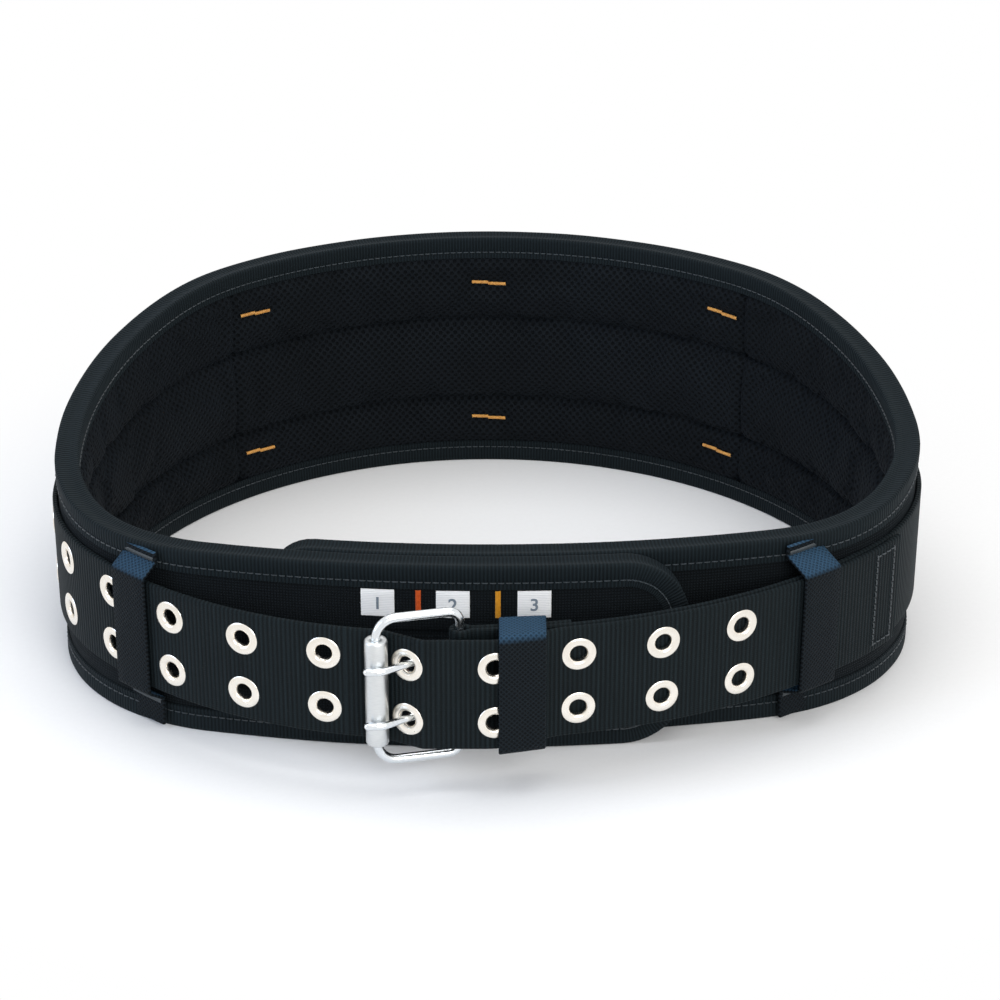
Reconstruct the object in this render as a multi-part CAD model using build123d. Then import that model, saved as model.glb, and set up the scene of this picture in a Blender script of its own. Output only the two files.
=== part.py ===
from build123d import *
from math import acos, atan2, cos, degrees, hypot, radians, sin, sqrt, tan
import os

# Padded work belt: foam pad with hook-and-loop overlap, grommeted webbing strap, double-tongue buckle.
# Millimetres, +Z up. The belt stands on its lower edge. It is laid out about the centre of the pad's
# oval, with the buckle towards -Y and the wearer's back towards +Y, and moved at the end so that the
# origin is at the middle of the bottom of the whole object.

# ---- pad: plan --------------------------------------------------------------------------------
PAD_WIDTH = 384.0            # outside, side to side
PAD_DEPTH = 299.0            # outside, back to outer front flap
SIDE_RADIUS = 90.0           # outside radius at the wearer's sides
FRONT_BOW = 11.5             # how far the front flap bows out past the sides' own arcs
COVER = 1.2                  # woven outer cover
FOAM = 6.6
LINING = 1.2                 # air mesh
FLAP_GAP = 2.3               # between the two front flaps, filled by hook and loop
FLAP_LEFT_END = 85.0         # the outer (left) flap reaches this far to the right of the middle
FLAP_RIGHT_END = 95.0        # the inner (right) flap reaches this far to the left of the middle
BACK_PANEL_ANGLE = 43.0      # half angle of the back panel, about the back arc's centre

# ---- pad: heights -----------------------------------------------------------------------------
BACK_HEIGHT = 123.0
FRONT_HEIGHT = 87.0
TAPER_FROM_BACK = 63.5       # the top edge falls from this far ahead of the pad's back ...
TAPER_FROM_FRONT = 45.5      # ... to this far behind its front
FLAP_LEFT_CORNER = 28.0      # corner radii of the flap ends
FLAP_RIGHT_CORNER = 20.0
CHANNELS = 3                 # quilted channels, one above the other
SEAM_WIDTH = 3.0
SEAM_DEPTH = 2.2             # groove in each face of the foam at a seam
FOAM_INSET = 1.0             # foam stops this far inside the binding
BINDING = 0.8                # binding tape thickness
BINDING_LAP = 11.0           # how far the tape covers each face

# ---- front closure ----------------------------------------------------------------------------
PATCH_HALF = 50.0            # hook and loop patches: half length along the flap
PATCH_MARGIN = 14.0          # from the flap's top and bottom edges
PATCH = 1.1

# ---- labels on the outer flap -----------------------------------------------------------------
LABEL_X = [-46.5, -15.0, 19.0]
LABEL_WIDTH = 14.0
LABEL_HEIGHT = 12.5
LABEL_BELOW = 0.5            # under the binding
LABEL = 0.4
DIGIT_HEIGHT = 5.0
DIGIT_STROKE = 1.0
DIGIT = 0.15
MARK_X = [-29.5, 3.8]
MARK_WIDTH = 2.0

# ---- strap ------------------------------------------------------------------------------------
STRAP = 2.3                  # webbing thickness
STRAP_WIDTH = 50.8           # two-inch webbing
STRAP_LIFT = 4.0             # its centre line's height over the middle of the pad's front; level at the back
STRAP_OFF_PAD = 0.7          # room for the washers behind it
LAYER_GAP = 0.7              # between the lower layer and the free end lying on it, at the side
TIP_PAST_GROMMET = 93.5      # from the last pair of grommets to the tip
SPAN_BEFORE_BEND = 7.0       # the stretch that flexes as the buckle moves starts this far round the bend
SPAN_PAST_CREST = 5.2        # and ends this far past the dive
CHAPE_RETURN = 46.0          # length of the folded-back end
FOLD_CLEAR = 0.15            # round the heel bar
LAYERS_APART = 0.1           # between the fold's two layers
CHAPE_CLOSE = 8.0            # radius where its two layers close up beyond the heel bar
LEFT_STRAIGHT = 7.1          # straight stretch between the left bend and the roller
LEFT_SLOPE = 9.0             # angle at which it comes up to the roller
LOWER_STRAIGHT = 19.9        # and between the heel bar and the lower layer's bend
LOWER_SLOPE = 5.0            # angle at which the lower layer leaves the heel bar, back toward the pad
END_STRAIGHT = 9.9           # the free end passes the heel bar by this before it closes on the lower layer
END_CLOSE = 40.0             # bend radius as it does so

# ---- buckle -----------------------------------------------------------------------------------
WIRE = 4.0                   # frame wire diameter
HEEL_X = -11.9
HEEL_AHEAD = 27.0            # of the pad's front
ROLLER_FROM_HEEL = (-34.0, -7.9)
FRAME_BESIDE_STRAP = 7.8     # from the strap's edge to the side bar's centre line
FRAME_CORNER = 8.5           # centre-line radius beside the roller
HEEL_CORNER = 5.0            # and beside the heel bar
ROLLER_RADIUS = 4.8
ROLLER_WALL = 0.9
ROLLER_PLAY = 0.4            # at each end, before the frame's corner
RUNNING = 0.06               # radial clearance of a running fit
TONGUE = 3.2                 # tongue wire diameter
TONGUE_EYE_WIDTH = 4.6
TONGUE_EYE_WALL = 2.2
TONGUE_BEND = 6.0
TONGUE_FOOT = 4.5            # from the hole back to the bend inside it
TONGUE_PAST_ROLLER = 3.5     # the tip's reach past the roller's middle
SLOT_SIDE = 0.7              # chape slot's clearance beside a tongue eye
CLEAR = 0.35                 # between pieces that move past each other
DIVE_ANGLE = 28.0            # the strap's slope where it drops behind the roller
CREST_RADIUS = 3.3           # centre-line bend where it levels out again
DIVE_HOLE = 0.65             # how far down it the buckle's pair of grommets sits
STRAP_RISE = 2.9             # free end's centre line beyond the roller's middle

# ---- grommets ---------------------------------------------------------------------------------
GROMMET_PITCH = 36.5         # along the strap
GROMMET_OUTER = 7.4          # radii
GROMMET_HOLE = 3.5
GROMMET_WALL = 0.6
GROMMET_FLANGE = 0.7
GROMMET_SUNK = 0.3
WASHER_OUTER = 6.8
WASHER = 0.5
GROMMETS_RIGHT = 4           # pairs between the buckle's pair and the tip
GROMMETS_LEFT = 6            # pairs beyond the buckle, round the left side

# ---- keeper and belt loops --------------------------------------------------------------------
KEEPER_PAST_HEEL = 15.9
KEEPER_WIDTH = 19.5
KEEPER = 1.6
KEEPER_FRONT = 1.1           # its play ahead of, behind and above the layers it holds
KEEPER_BACK = 1.9
KEEPER_ABOVE = 0.6
KEEPER_SLANT = 14.0          # of its front wall, which follows the free end
LOOP_WIDTH = 20.0
LOOP = 1.6
LOOP_OVER = 1.2              # inside of the loop above the strap's face
LOOP_ABOVE = 1.5             # and past its edges
LOOP_ROOT_BACK = 11.0        # from the strap's edge to the loop's inner seam, at the back
LOOP_ROOT_FRONT = 7.5
BACK_LOOP_SPREAD = 39.0      # angle between the back loops, about the back arc's centre
LEFT_LOOP_AT = 36.0          # along the strap, from the end of the left side's arc
RIGHT_LOOP_AT = 40.0         # and back from the start of the right side's arc
TACK_LENGTH = 17.5
TACK_HEIGHT = 2.2
TACK = 0.6

STITCH = 0.5
STITCH_WIDTH = 1.0
STITCH_MARGIN = 4.0          # from the webbing's edges
TIP_STITCHES = (5.0, 17.0)   # back from the tip
CHAPE_STITCHES = (17.0, 40.0)    # back from the fold's start, toward its end

PAD = COVER + FOAM + LINING
HALF_STRAP = STRAP / 2
TALL = PAD_WIDTH + PAD_DEPTH + BACK_HEIGHT
SIDE_CENTRE_Y = -PAD_DEPTH / 2 + SIDE_RADIUS + FRONT_BOW
TAPER_BACK_Y = PAD_DEPTH / 2 - TAPER_FROM_BACK
TAPER_FRONT_Y = -PAD_DEPTH / 2 + TAPER_FROM_FRONT
LABEL_TOP = FRONT_HEIGHT - BINDING_LAP - LABEL_BELOW
LABEL_Z = (LABEL_TOP - LABEL_HEIGHT, LABEL_TOP)
STRAP_Z = FRONT_HEIGHT / 2 + STRAP_LIFT
STRAP_BACK_Z = BACK_HEIGHT / 2
HEEL_Y = -PAD_DEPTH / 2 - HEEL_AHEAD
ROLLER_X = HEEL_X + ROLLER_FROM_HEEL[0]
ROLLER_Y = HEEL_Y + ROLLER_FROM_HEEL[1]
FRAME_HEIGHT = STRAP_WIDTH + 2 * FRAME_BESIDE_STRAP
ROLLER_LENGTH = FRAME_HEIGHT - 2 * FRAME_CORNER - 2 * ROLLER_PLAY
GROMMET_ROWS = STRAP_WIDTH / 2
GROMMET_BARREL = GROMMET_HOLE + GROMMET_WALL
KEEPER_LEFT_X = HEEL_X + KEEPER_PAST_HEEL


# ---- paths: tangent arcs and lines, walked with the wearer on the left hand ---------------------
def arc(centre, radius, start, end):
    return ("arc", centre, radius, start, end)


def line(start, end):
    return ("line", start, end)


def polar(centre, radius, angle):
    return (centre[0] + radius * cos(radians(angle)), centre[1] + radius * sin(radians(angle)))


def shifted(piece, offset):
    """The same piece, moved to its right by offset: a left-hand arc grows, a right-hand arc shrinks."""
    if piece[0] == "arc":
        _, centre, radius, start, end = piece
        return arc(centre, radius + (offset if end > start else -offset), start, end)
    _, a, b = piece
    length = hypot(b[0] - a[0], b[1] - a[1])
    across = ((b[1] - a[1]) / length * offset, -(b[0] - a[0]) / length * offset)
    return line((a[0] + across[0], a[1] + across[1]), (b[0] + across[0], b[1] + across[1]))


def piece_length(piece):
    if piece[0] == "arc":
        return abs(radians(piece[4] - piece[3])) * piece[2]
    return hypot(piece[2][0] - piece[1][0], piece[2][1] - piece[1][1])


def point_on(piece, part):
    """Point and heading (degrees) at a fraction of a piece."""
    if piece[0] == "arc":
        _, centre, radius, start, end = piece
        angle = start + (end - start) * part
        return polar(centre, radius, angle), angle + (90 if end > start else -90)
    _, a, b = piece
    point = (a[0] + (b[0] - a[0]) * part, a[1] + (b[1] - a[1]) * part)
    return point, degrees(atan2(b[1] - a[1], b[0] - a[0]))


def at_length(path, distance):
    """Point and heading at a distance along a path."""
    for piece in path:
        length = piece_length(piece)
        if distance <= length:
            return point_on(piece, distance / length)
        distance -= length
    return point_on(path[-1], 1.0)


def path_length(path):
    return sum(piece_length(piece) for piece in path)


def edge_of(piece, backwards=False):
    if piece[0] == "line":
        a, b = piece[1], piece[2]
        return Edge.make_line(b, a) if backwards else Edge.make_line(a, b)
    a, middle, b = (point_on(piece, part)[0] for part in (0, 0.5, 1))
    return Edge.make_three_point_arc(b, middle, a) if backwards else Edge.make_three_point_arc(a, middle, b)


def band(path, inner, outer, low, high):
    """A wall along a path, between two offsets to its right and two heights."""
    right = [shifted(piece, outer) for piece in path]
    left = [shifted(piece, inner) for piece in path]
    edges = [edge_of(piece) for piece in right]
    edges.append(Edge.make_line(point_on(right[-1], 1)[0], point_on(left[-1], 1)[0]))
    edges += [edge_of(piece, backwards=True) for piece in reversed(left)]
    edges.append(Edge.make_line(point_on(left[0], 0)[0], point_on(right[0], 0)[0]))
    face = Face(Wire(edges))
    if face.normal_at().Z < 0:
        face = -face
    return Pos(0, 0, low) * Solid.extrude(face, Vector(0, 0, high - low))


def solid(shape):
    """The one solid that a feature leaves."""
    found = shape.solids()
    if len(found) != 1:
        raise ValueError(f"{len(found)} solids where one belongs")
    return found[0]


def front_radius(across, ahead, side):
    """Radius of the front arc that meets a side arc and is level at its own front."""
    return (across ** 2 + ahead ** 2 - side ** 2) / (2 * (ahead - side))


def bend_radius(point, heading, centre, side):
    """Radius of the left-hand arc that starts at a point with a heading and runs into a side arc."""
    off = (point[0] - centre[0], point[1] - centre[1])
    toward = -off[0] * sin(radians(heading)) + off[1] * cos(radians(heading))
    return (side ** 2 - off[0] ** 2 - off[1] ** 2) / (2 * (toward + side))


# ---- the pad's plan: back arc, side arcs, front arcs ---------------------------------------------
left_centre = (-(PAD_WIDTH / 2 - SIDE_RADIUS), SIDE_CENTRE_Y)
back_radius = front_radius(left_centre[0], PAD_DEPTH / 2 - SIDE_CENTRE_Y, SIDE_RADIUS)
back_centre = (0.0, PAD_DEPTH / 2 - back_radius)
flap_radius = front_radius(left_centre[0], PAD_DEPTH / 2 + SIDE_CENTRE_Y, SIDE_RADIUS)
flap_centre = (0.0, -PAD_DEPTH / 2 + flap_radius)
inner_radius = flap_radius - PAD - FLAP_GAP
reach_back = back_radius - SIDE_RADIUS
reach_front = inner_radius - SIDE_RADIUS
right_y = ((reach_back ** 2 - reach_front ** 2 - back_centre[1] ** 2 + flap_centre[1] ** 2)
           / (2 * (flap_centre[1] - back_centre[1])))
right_centre = (sqrt(reach_back ** 2 - (right_y - back_centre[1]) ** 2), right_y)


def direction(origin, point):
    return degrees(atan2(point[1] - origin[1], point[0] - origin[0]))


right_back = direction(back_centre, right_centre)
left_back = direction(back_centre, left_centre) % 360
right_front = direction(flap_centre, right_centre)
left_front = direction(flap_centre, left_centre) % 360
left_tip = 270 + degrees(FLAP_LEFT_END / flap_radius)
right_tip = -90 - degrees(FLAP_RIGHT_END / inner_radius)
back_start, back_end = 90 - BACK_PANEL_ANGLE, 90 + BACK_PANEL_ANGLE

RIGHT_WING = [arc(flap_centre, inner_radius, right_tip, right_front),
              arc(right_centre, SIDE_RADIUS, right_front, right_back),
              arc(back_centre, back_radius, right_back, back_start)]
BACK_PANEL = [arc(back_centre, back_radius, back_start, back_end)]
LEFT_WING = [arc(back_centre, back_radius, back_end, left_back),
             arc(left_centre, SIDE_RADIUS, left_back, left_front),
             arc(flap_centre, flap_radius, left_front, left_tip)]
PANELS = {"right": RIGHT_WING, "back": BACK_PANEL, "left": LEFT_WING}
WHOLE_PAD = RIGHT_WING[:2] + [arc(back_centre, back_radius, right_back, left_back)] + LEFT_WING[1:]


def under_top_edge(share=1.0, drop=0.0):
    """Everything below the pad's top edge, or below a share of its height, less a drop."""
    back, front = BACK_HEIGHT * share - drop, FRONT_HEIGHT * share - drop
    points = [(-TALL, -TALL), (TALL, -TALL), (TALL, back), (TAPER_BACK_Y, back),
              (TAPER_FRONT_Y, front), (-TALL, front), (-TALL, -TALL)]
    wire = Wire([Edge.make_line((-TALL, *a), (-TALL, *b)) for a, b in zip(points, points[1:])])
    return Solid.extrude(Face(wire), Vector(2 * TALL, 0, 0))


def corner_cutter(end_x, corner, inset, toward):
    """What rounding a flap's end takes away, with the outline moved in by inset."""
    radius = corner - inset
    reach = 3 * corner
    cutters = []
    for height, up in ((FRONT_HEIGHT, 1), (0.0, -1)):
        centre_x = end_x - toward * corner
        centre_z = height - up * corner
        block = Pos(centre_x + toward * reach / 2, -TALL / 2, centre_z + up * reach / 2) * Box(
            reach, TALL, reach)
        round_end = Pos(centre_x, -TALL / 2, centre_z) * Rot(90, 0, 0) * Cylinder(radius, 2 * TALL)
        cutters.append(block - round_end)
    past_end = Pos(end_x - toward * inset + toward * reach / 2, -TALL / 2, 0) * Box(reach, TALL, TALL)
    return cutters + [past_end]


def near_flap(side):
    """The space round one flap's end, clear of the other flap."""
    beyond = 5.0
    if side == "left":
        path = [arc(flap_centre, flap_radius, 270, left_tip + beyond)]
        return band(path, -PAD - FLAP_GAP / 2, PAD, -FRONT_HEIGHT, 2 * FRONT_HEIGHT)
    path = [arc(flap_centre, inner_radius, right_tip - beyond, -90)]
    return band(path, -2 * PAD, FLAP_GAP / 2, -FRONT_HEIGHT, 2 * FRONT_HEIGHT)


def trimmed(shape, sides, inset):
    """Round the flap ends of these sides, with the outline moved in by inset."""
    ends = {"left": (FLAP_LEFT_END, FLAP_LEFT_CORNER, 1), "right": (-FLAP_RIGHT_END, FLAP_RIGHT_CORNER, -1)}
    for side in sides:
        if side in ends:
            end_x, corner, toward = ends[side]
            for cutter in corner_cutter(end_x, corner, inset, toward):
                shape = shape - (cutter & near_flap(side))
    return shape


def pad_layer(side, inner, outer, inset):
    """One layer of one panel, its edges set in from the pad's outline."""
    wall = band(PANELS[side], inner, outer, inset, BACK_HEIGHT)
    return solid(trimmed(wall & under_top_edge(drop=inset), [side], inset))


def foam_panel(side):
    """Foam sheet with a groove in each face at every quilting seam."""
    sheet = pad_layer(side, -COVER - FOAM, -COVER, BINDING + FOAM_INSET)
    for seam in range(1, CHANNELS):
        share = seam / CHANNELS
        strip = under_top_edge(share, -SEAM_WIDTH / 2) - under_top_edge(share, SEAM_WIDTH / 2)
        for inner, outer in ((-COVER - SEAM_DEPTH, 0), (-PAD, -PAD + LINING + SEAM_DEPTH)):
            sheet = sheet - (band(PANELS[side], inner, outer, 0, BACK_HEIGHT) & strip)
    return solid(sheet)


def outline_region(inner, outer, inset):
    """The whole pad's plan between two offsets, with its outline moved in by inset."""
    wall = band(WHOLE_PAD, inner, outer, inset, BACK_HEIGHT) & under_top_edge(drop=inset)
    return trimmed(wall, ["left", "right"], inset)


def binding_parts():
    """U-shaped tape over the pad's raw edges, as four lengths: top, bottom and the two flap ends."""
    shell = outline_region(-PAD - BINDING, BINDING, 0) - outline_region(-PAD, 0, BINDING)
    beyond = (BINDING + FLAP_GAP / 2) / 2
    shell = shell - outline_region(-PAD - beyond, beyond, BINDING_LAP)
    lengths = {}
    for side, corner_x, toward in (("left", FLAP_LEFT_END - FLAP_LEFT_CORNER, 1),
                                   ("right", -FLAP_RIGHT_END + FLAP_RIGHT_CORNER, -1)):
        region = Pos(corner_x + toward * TALL / 2, -TALL / 2, 0) * Box(TALL, TALL, TALL) & near_flap(side)
        lengths[side] = solid(shell & region)
        shell = shell - region
    lower_half = Box(2 * TALL, 2 * TALL, FRONT_HEIGHT)
    return solid(shell - lower_half), solid(shell & lower_half), lengths["left"], lengths["right"]


# ---- strap paths -------------------------------------------------------------------------------
strap_side = SIDE_RADIUS + STRAP_OFF_PAD + HALF_STRAP
strap_back = back_radius + STRAP_OFF_PAD + HALF_STRAP
end_side = strap_side + STRAP + LAYER_GAP
wrap = ROLLER_RADIUS + CLEAR + HALF_STRAP
end_level = ROLLER_Y - STRAP_RISE                # centre line of the free end beside the buckle
layer_offset = HALF_STRAP + LAYERS_APART / 2

# free end: round the roller's back, up the dive, and level past the buckle
dive_start = polar((ROLLER_X, ROLLER_Y), wrap, 90 - DIVE_ANGLE)
crest_drop = CREST_RADIUS * (1 - cos(radians(DIVE_ANGLE)))
dive_length = (dive_start[1] - end_level - crest_drop) / sin(radians(DIVE_ANGLE))
dive_end = (dive_start[0] + dive_length * cos(radians(DIVE_ANGLE)),
            dive_start[1] - dive_length * sin(radians(DIVE_ANGLE)))
crest_centre = (dive_end[0] + CREST_RADIUS * sin(radians(DIVE_ANGLE)), end_level + CREST_RADIUS)
span_right_x = crest_centre[0] + SPAN_PAST_CREST

# lower layer: from the heel bar back toward the pad, then round the right side
lower_start = (HEEL_X + layer_offset * sin(radians(LOWER_SLOPE)), HEEL_Y - layer_offset * cos(radians(LOWER_SLOPE)))
lower_bend = (lower_start[0] + LOWER_STRAIGHT * cos(radians(LOWER_SLOPE)),
              lower_start[1] + LOWER_STRAIGHT * sin(radians(LOWER_SLOPE)))
lower_radius = bend_radius(lower_bend, LOWER_SLOPE, right_centre, strap_side)
lower_centre = polar(lower_bend, lower_radius, LOWER_SLOPE + 90)
lower_turn = direction(lower_centre, right_centre)

# free end past the heel bar: an S that closes on the lower layer, then on top of it
end_bend_x = HEEL_X + END_STRAIGHT
end_radius = lower_radius + STRAP + LAYER_GAP
close_first = (end_bend_x, end_level + END_CLOSE)
close_apart = hypot(lower_centre[0] - close_first[0], lower_centre[1] - close_first[1])
close_far = end_radius + END_CLOSE
close_bend = acos((close_apart ** 2 + (2 * END_CLOSE) ** 2 - close_far ** 2) / (4 * close_apart * END_CLOSE))
close_first_angle = direction(close_first, lower_centre) - degrees(close_bend)
close_second = polar(close_first, 2 * END_CLOSE, close_first_angle)
close_second_angle = direction(close_second, lower_centre)
left_start = polar((ROLLER_X, ROLLER_Y), wrap, 90 - LEFT_SLOPE)
left_bend = (left_start[0] - LEFT_STRAIGHT * cos(radians(LEFT_SLOPE)),
             left_start[1] + LEFT_STRAIGHT * sin(radians(LEFT_SLOPE)))
mirrored = [(-x, y) for x, y in (left_bend, left_centre)]
left_radius = bend_radius(mirrored[0], LEFT_SLOPE, mirrored[1], strap_side)
left_bend_centre = polar(left_bend, left_radius, 90 - LEFT_SLOPE)
span_left_angle = 270 - LEFT_SLOPE - degrees(SPAN_BEFORE_BEND / left_radius)
left_turn = direction(left_bend_centre, left_centre) % 360

# chape: webbing folded round the heel bar, its two layers closing up beyond it
fold_radius = WIRE / 2 + FOLD_CLEAR + HALF_STRAP
close_angle = degrees(atan2(layer_offset + CHAPE_CLOSE,
                            sqrt((fold_radius + CHAPE_CLOSE) ** 2 - (layer_offset + CHAPE_CLOSE) ** 2)))
close_dx = sqrt((fold_radius + CHAPE_CLOSE) ** 2 - (layer_offset + CHAPE_CLOSE) ** 2)
close_out_y = layer_offset + CHAPE_CLOSE
return_radius = lower_radius - 2 * layer_offset
return_bend = CHAPE_RETURN - LOWER_STRAIGHT


def beyond_heel(ahead, across):
    """A point set out from the heel bar along the lower layer's slope, and back from it."""
    slope = radians(LOWER_SLOPE)
    return (HEEL_X + ahead * cos(slope) - across * sin(slope), HEEL_Y + ahead * sin(slope) + across * cos(slope))


close_in = beyond_heel(close_dx, close_out_y)
close_out = beyond_heel(close_dx, -close_out_y)
STRAP_PATH = [
    arc(lower_centre, return_radius, LOWER_SLOPE - 90 + degrees(return_bend / return_radius), LOWER_SLOPE - 90),
    line(beyond_heel(LOWER_STRAIGHT, layer_offset), beyond_heel(close_dx, layer_offset)),
    arc(close_in, CHAPE_CLOSE, LOWER_SLOPE - 90, LOWER_SLOPE - 180 + close_angle),
    arc((HEEL_X, HEEL_Y), fold_radius, LOWER_SLOPE + close_angle, LOWER_SLOPE + 360 - close_angle),
    arc(close_out, CHAPE_CLOSE, LOWER_SLOPE + 180 - close_angle, LOWER_SLOPE + 90),
    line(beyond_heel(close_dx, -layer_offset), lower_bend),
    arc(lower_centre, lower_radius, LOWER_SLOPE - 90, lower_turn),
    arc(right_centre, strap_side, lower_turn, right_back),
    arc(back_centre, strap_back, right_back, left_back),
    arc(left_centre, strap_side, left_back, left_turn),
    arc(left_bend_centre, left_radius, left_turn, span_left_angle),
]
SPAN_PATH = [
    arc(left_bend_centre, left_radius, span_left_angle, 270 - LEFT_SLOPE),
    line(left_bend, left_start),
    arc((ROLLER_X, ROLLER_Y), wrap, 90 - LEFT_SLOPE, 90 - DIVE_ANGLE),
    line(dive_start, dive_end),
    arc(crest_centre, CREST_RADIUS, 270 - DIVE_ANGLE, 270),
    line((crest_centre[0], end_level), (span_right_x, end_level)),
]
ROUND_RIGHT = [
    line((span_right_x, end_level), (end_bend_x, end_level)),
    arc(close_first, END_CLOSE, -90, close_first_angle),
    arc(close_second, END_CLOSE, close_first_angle + 180, close_second_angle),
    arc(lower_centre, end_radius, close_second_angle - 180, lower_turn),
    arc(right_centre, end_side, lower_turn, right_back),
]
BUCKLE_PAIR = path_length(SPAN_PATH[:3]) + dive_length * DIVE_HOLE


def cut_to(path, length):
    """The first stretch of a path."""
    kept = []
    for piece in path:
        whole = piece_length(piece)
        if length >= whole:
            kept.append(piece)
            length -= whole
            continue
        _, centre, radius, start, end = piece
        return kept + [arc(centre, radius, start, start + (end - start) * length / whole)]
    raise ValueError("the free end runs past the pad's side")


END_PATH = cut_to(ROUND_RIGHT, BUCKLE_PAIR + GROMMETS_RIGHT * GROMMET_PITCH + TIP_PAST_GROMMET
                  - path_length(SPAN_PATH))


def strap_height(y):
    """Height of the strap's centre line: level in front and at the back, climbing along the sides."""
    climbed = (y - TAPER_FRONT_Y) / (TAPER_BACK_Y - TAPER_FRONT_Y)
    return STRAP_Z + (STRAP_BACK_Z - STRAP_Z) * min(max(climbed, 0.0), 1.0)


def webbing(path):
    """Upright webbing along a path, climbing with the strap."""
    ends = (-TALL, TAPER_FRONT_Y, TAPER_BACK_Y, TALL)
    upper = [(y, strap_height(y) + STRAP_WIDTH / 2) for y in ends]
    lower = [(y, strap_height(y) - STRAP_WIDTH / 2) for y in reversed(ends)]
    corners = upper + lower
    wire = Wire([Edge.make_line((-TALL, *a), (-TALL, *b)) for a, b in zip(corners, corners[1:] + corners[:1])])
    climb = Solid.extrude(Face(wire), Vector(2 * TALL, 0, 0))
    return band(path, -HALF_STRAP, HALF_STRAP, 0, BACK_HEIGHT) & climb


def facing(point, heading, height):
    """Frame whose Z looks out of the strap's right-hand face, with X along the strap."""
    ahead = Vector(cos(radians(heading)), sin(radians(heading)), 0)
    outward = Vector(sin(radians(heading)), -cos(radians(heading)), 0)
    return Location(Plane(origin=(point[0], point[1], height), x_dir=ahead, z_dir=outward))


def grommet_places():
    """(path, distance) of every pair: free end, buckle's pair, then the left side."""
    places = {"free": [], "buckle": [(SPAN_PATH, BUCKLE_PAIR)], "left": []}
    to_right = path_length(SPAN_PATH) - BUCKLE_PAIR
    for pair in range(1, GROMMETS_RIGHT + 1):
        places["free"].append((END_PATH, pair * GROMMET_PITCH - to_right))
    strap_length = path_length(STRAP_PATH)
    for pair in range(1, GROMMETS_LEFT + 1):
        places["left"].append((STRAP_PATH, strap_length - (pair * GROMMET_PITCH - BUCKLE_PAIR)))
    return places


PLACES = grommet_places()


def grommet_frames(group):
    frames = []
    for path, distance in PLACES[group]:
        point, heading = at_length(path, distance)
        for row in (1, -1):
            frames.append(facing(point, heading, strap_height(point[1]) + row * GROMMET_ROWS / 2))
    return frames


flange_base = HALF_STRAP - GROMMET_SUNK
barrel_end = -HALF_STRAP + GROMMET_SUNK - WASHER
barrel_length = flange_base + GROMMET_FLANGE - barrel_end


def disc(radius, low, high):
    return Pos(0, 0, (low + high) / 2) * Cylinder(radius, high - low)


def grommet(frame):
    top = flange_base + GROMMET_FLANGE
    body = disc(GROMMET_OUTER, flange_base, top) + disc(GROMMET_BARREL, barrel_end, flange_base)
    body = body - disc(GROMMET_HOLE, barrel_end - 1, top + 1)
    crown = [edge for edge in body.edges().filter_by(GeomType.CIRCLE) if edge.center().Z > top - 0.01]
    return frame * solid(fillet(crown, GROMMET_FLANGE * 0.6))


def washer(frame):
    ring = disc(WASHER_OUTER, barrel_end, barrel_end + WASHER) - disc(GROMMET_BARREL, barrel_end - 1, 0)
    return frame * solid(ring)


def grommet_envelope(frame):
    """What a grommet and its washer take out of the webbing."""
    top = disc(GROMMET_OUTER, flange_base, flange_base + 3)
    bottom = disc(WASHER_OUTER, barrel_end - 3, barrel_end + WASHER)
    return frame * (top + disc(GROMMET_BARREL, -3, 3) + bottom)


def pierced(strap, *groups):
    for group in groups:
        for frame in grommet_frames(group):
            strap = strap - grommet_envelope(frame)
    return solid(strap)


def make_strap():
    strap = webbing(STRAP_PATH)
    slot = Box(2 * close_dx, 4 * fold_radius, TONGUE_EYE_WIDTH + 2 * SLOT_SIDE)
    for row in (1, -1):
        strap = strap - Pos(HEEL_X, HEEL_Y, STRAP_Z + row * GROMMET_ROWS / 2) * Rot(0, 0, LOWER_SLOPE) * slot
    return pierced(strap, "left")


# ---- buckle ------------------------------------------------------------------------------------
def frame_plane():
    """X from the heel bar to the roller, Y up, at the heel bar's middle."""
    toward = Vector(ROLLER_X - HEEL_X, ROLLER_Y - HEEL_Y, 0).normalized()
    return Plane(origin=(HEEL_X, HEEL_Y, STRAP_Z), x_dir=toward, z_dir=toward.cross(Vector(0, 0, 1)))


frame_reach = hypot(ROLLER_X - HEEL_X, ROLLER_Y - HEEL_Y)


def make_frame():
    outline = Pos(frame_reach / 2, 0) * Rectangle(frame_reach, FRAME_HEIGHT)
    corners = outline.vertices().sort_by(Axis.X)
    outline = fillet(corners[:2], HEEL_CORNER)
    outline = fillet(outline.vertices().sort_by(Axis.X)[-2:], FRAME_CORNER)
    path = Location(frame_plane()) * outline.wire()
    section = Plane(origin=path @ 0, z_dir=path % 0) * Circle(WIRE / 2)
    return solid(sweep(section, path=path))


def make_roller():
    tube = Cylinder(ROLLER_RADIUS, ROLLER_LENGTH)
    tube = fillet(tube.edges().filter_by(GeomType.CIRCLE), ROLLER_WALL)
    tube = tube - Cylinder(WIRE / 2 + RUNNING, ROLLER_LENGTH + 2)
    return Pos(ROLLER_X, ROLLER_Y, STRAP_Z) * solid(tube)


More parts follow.
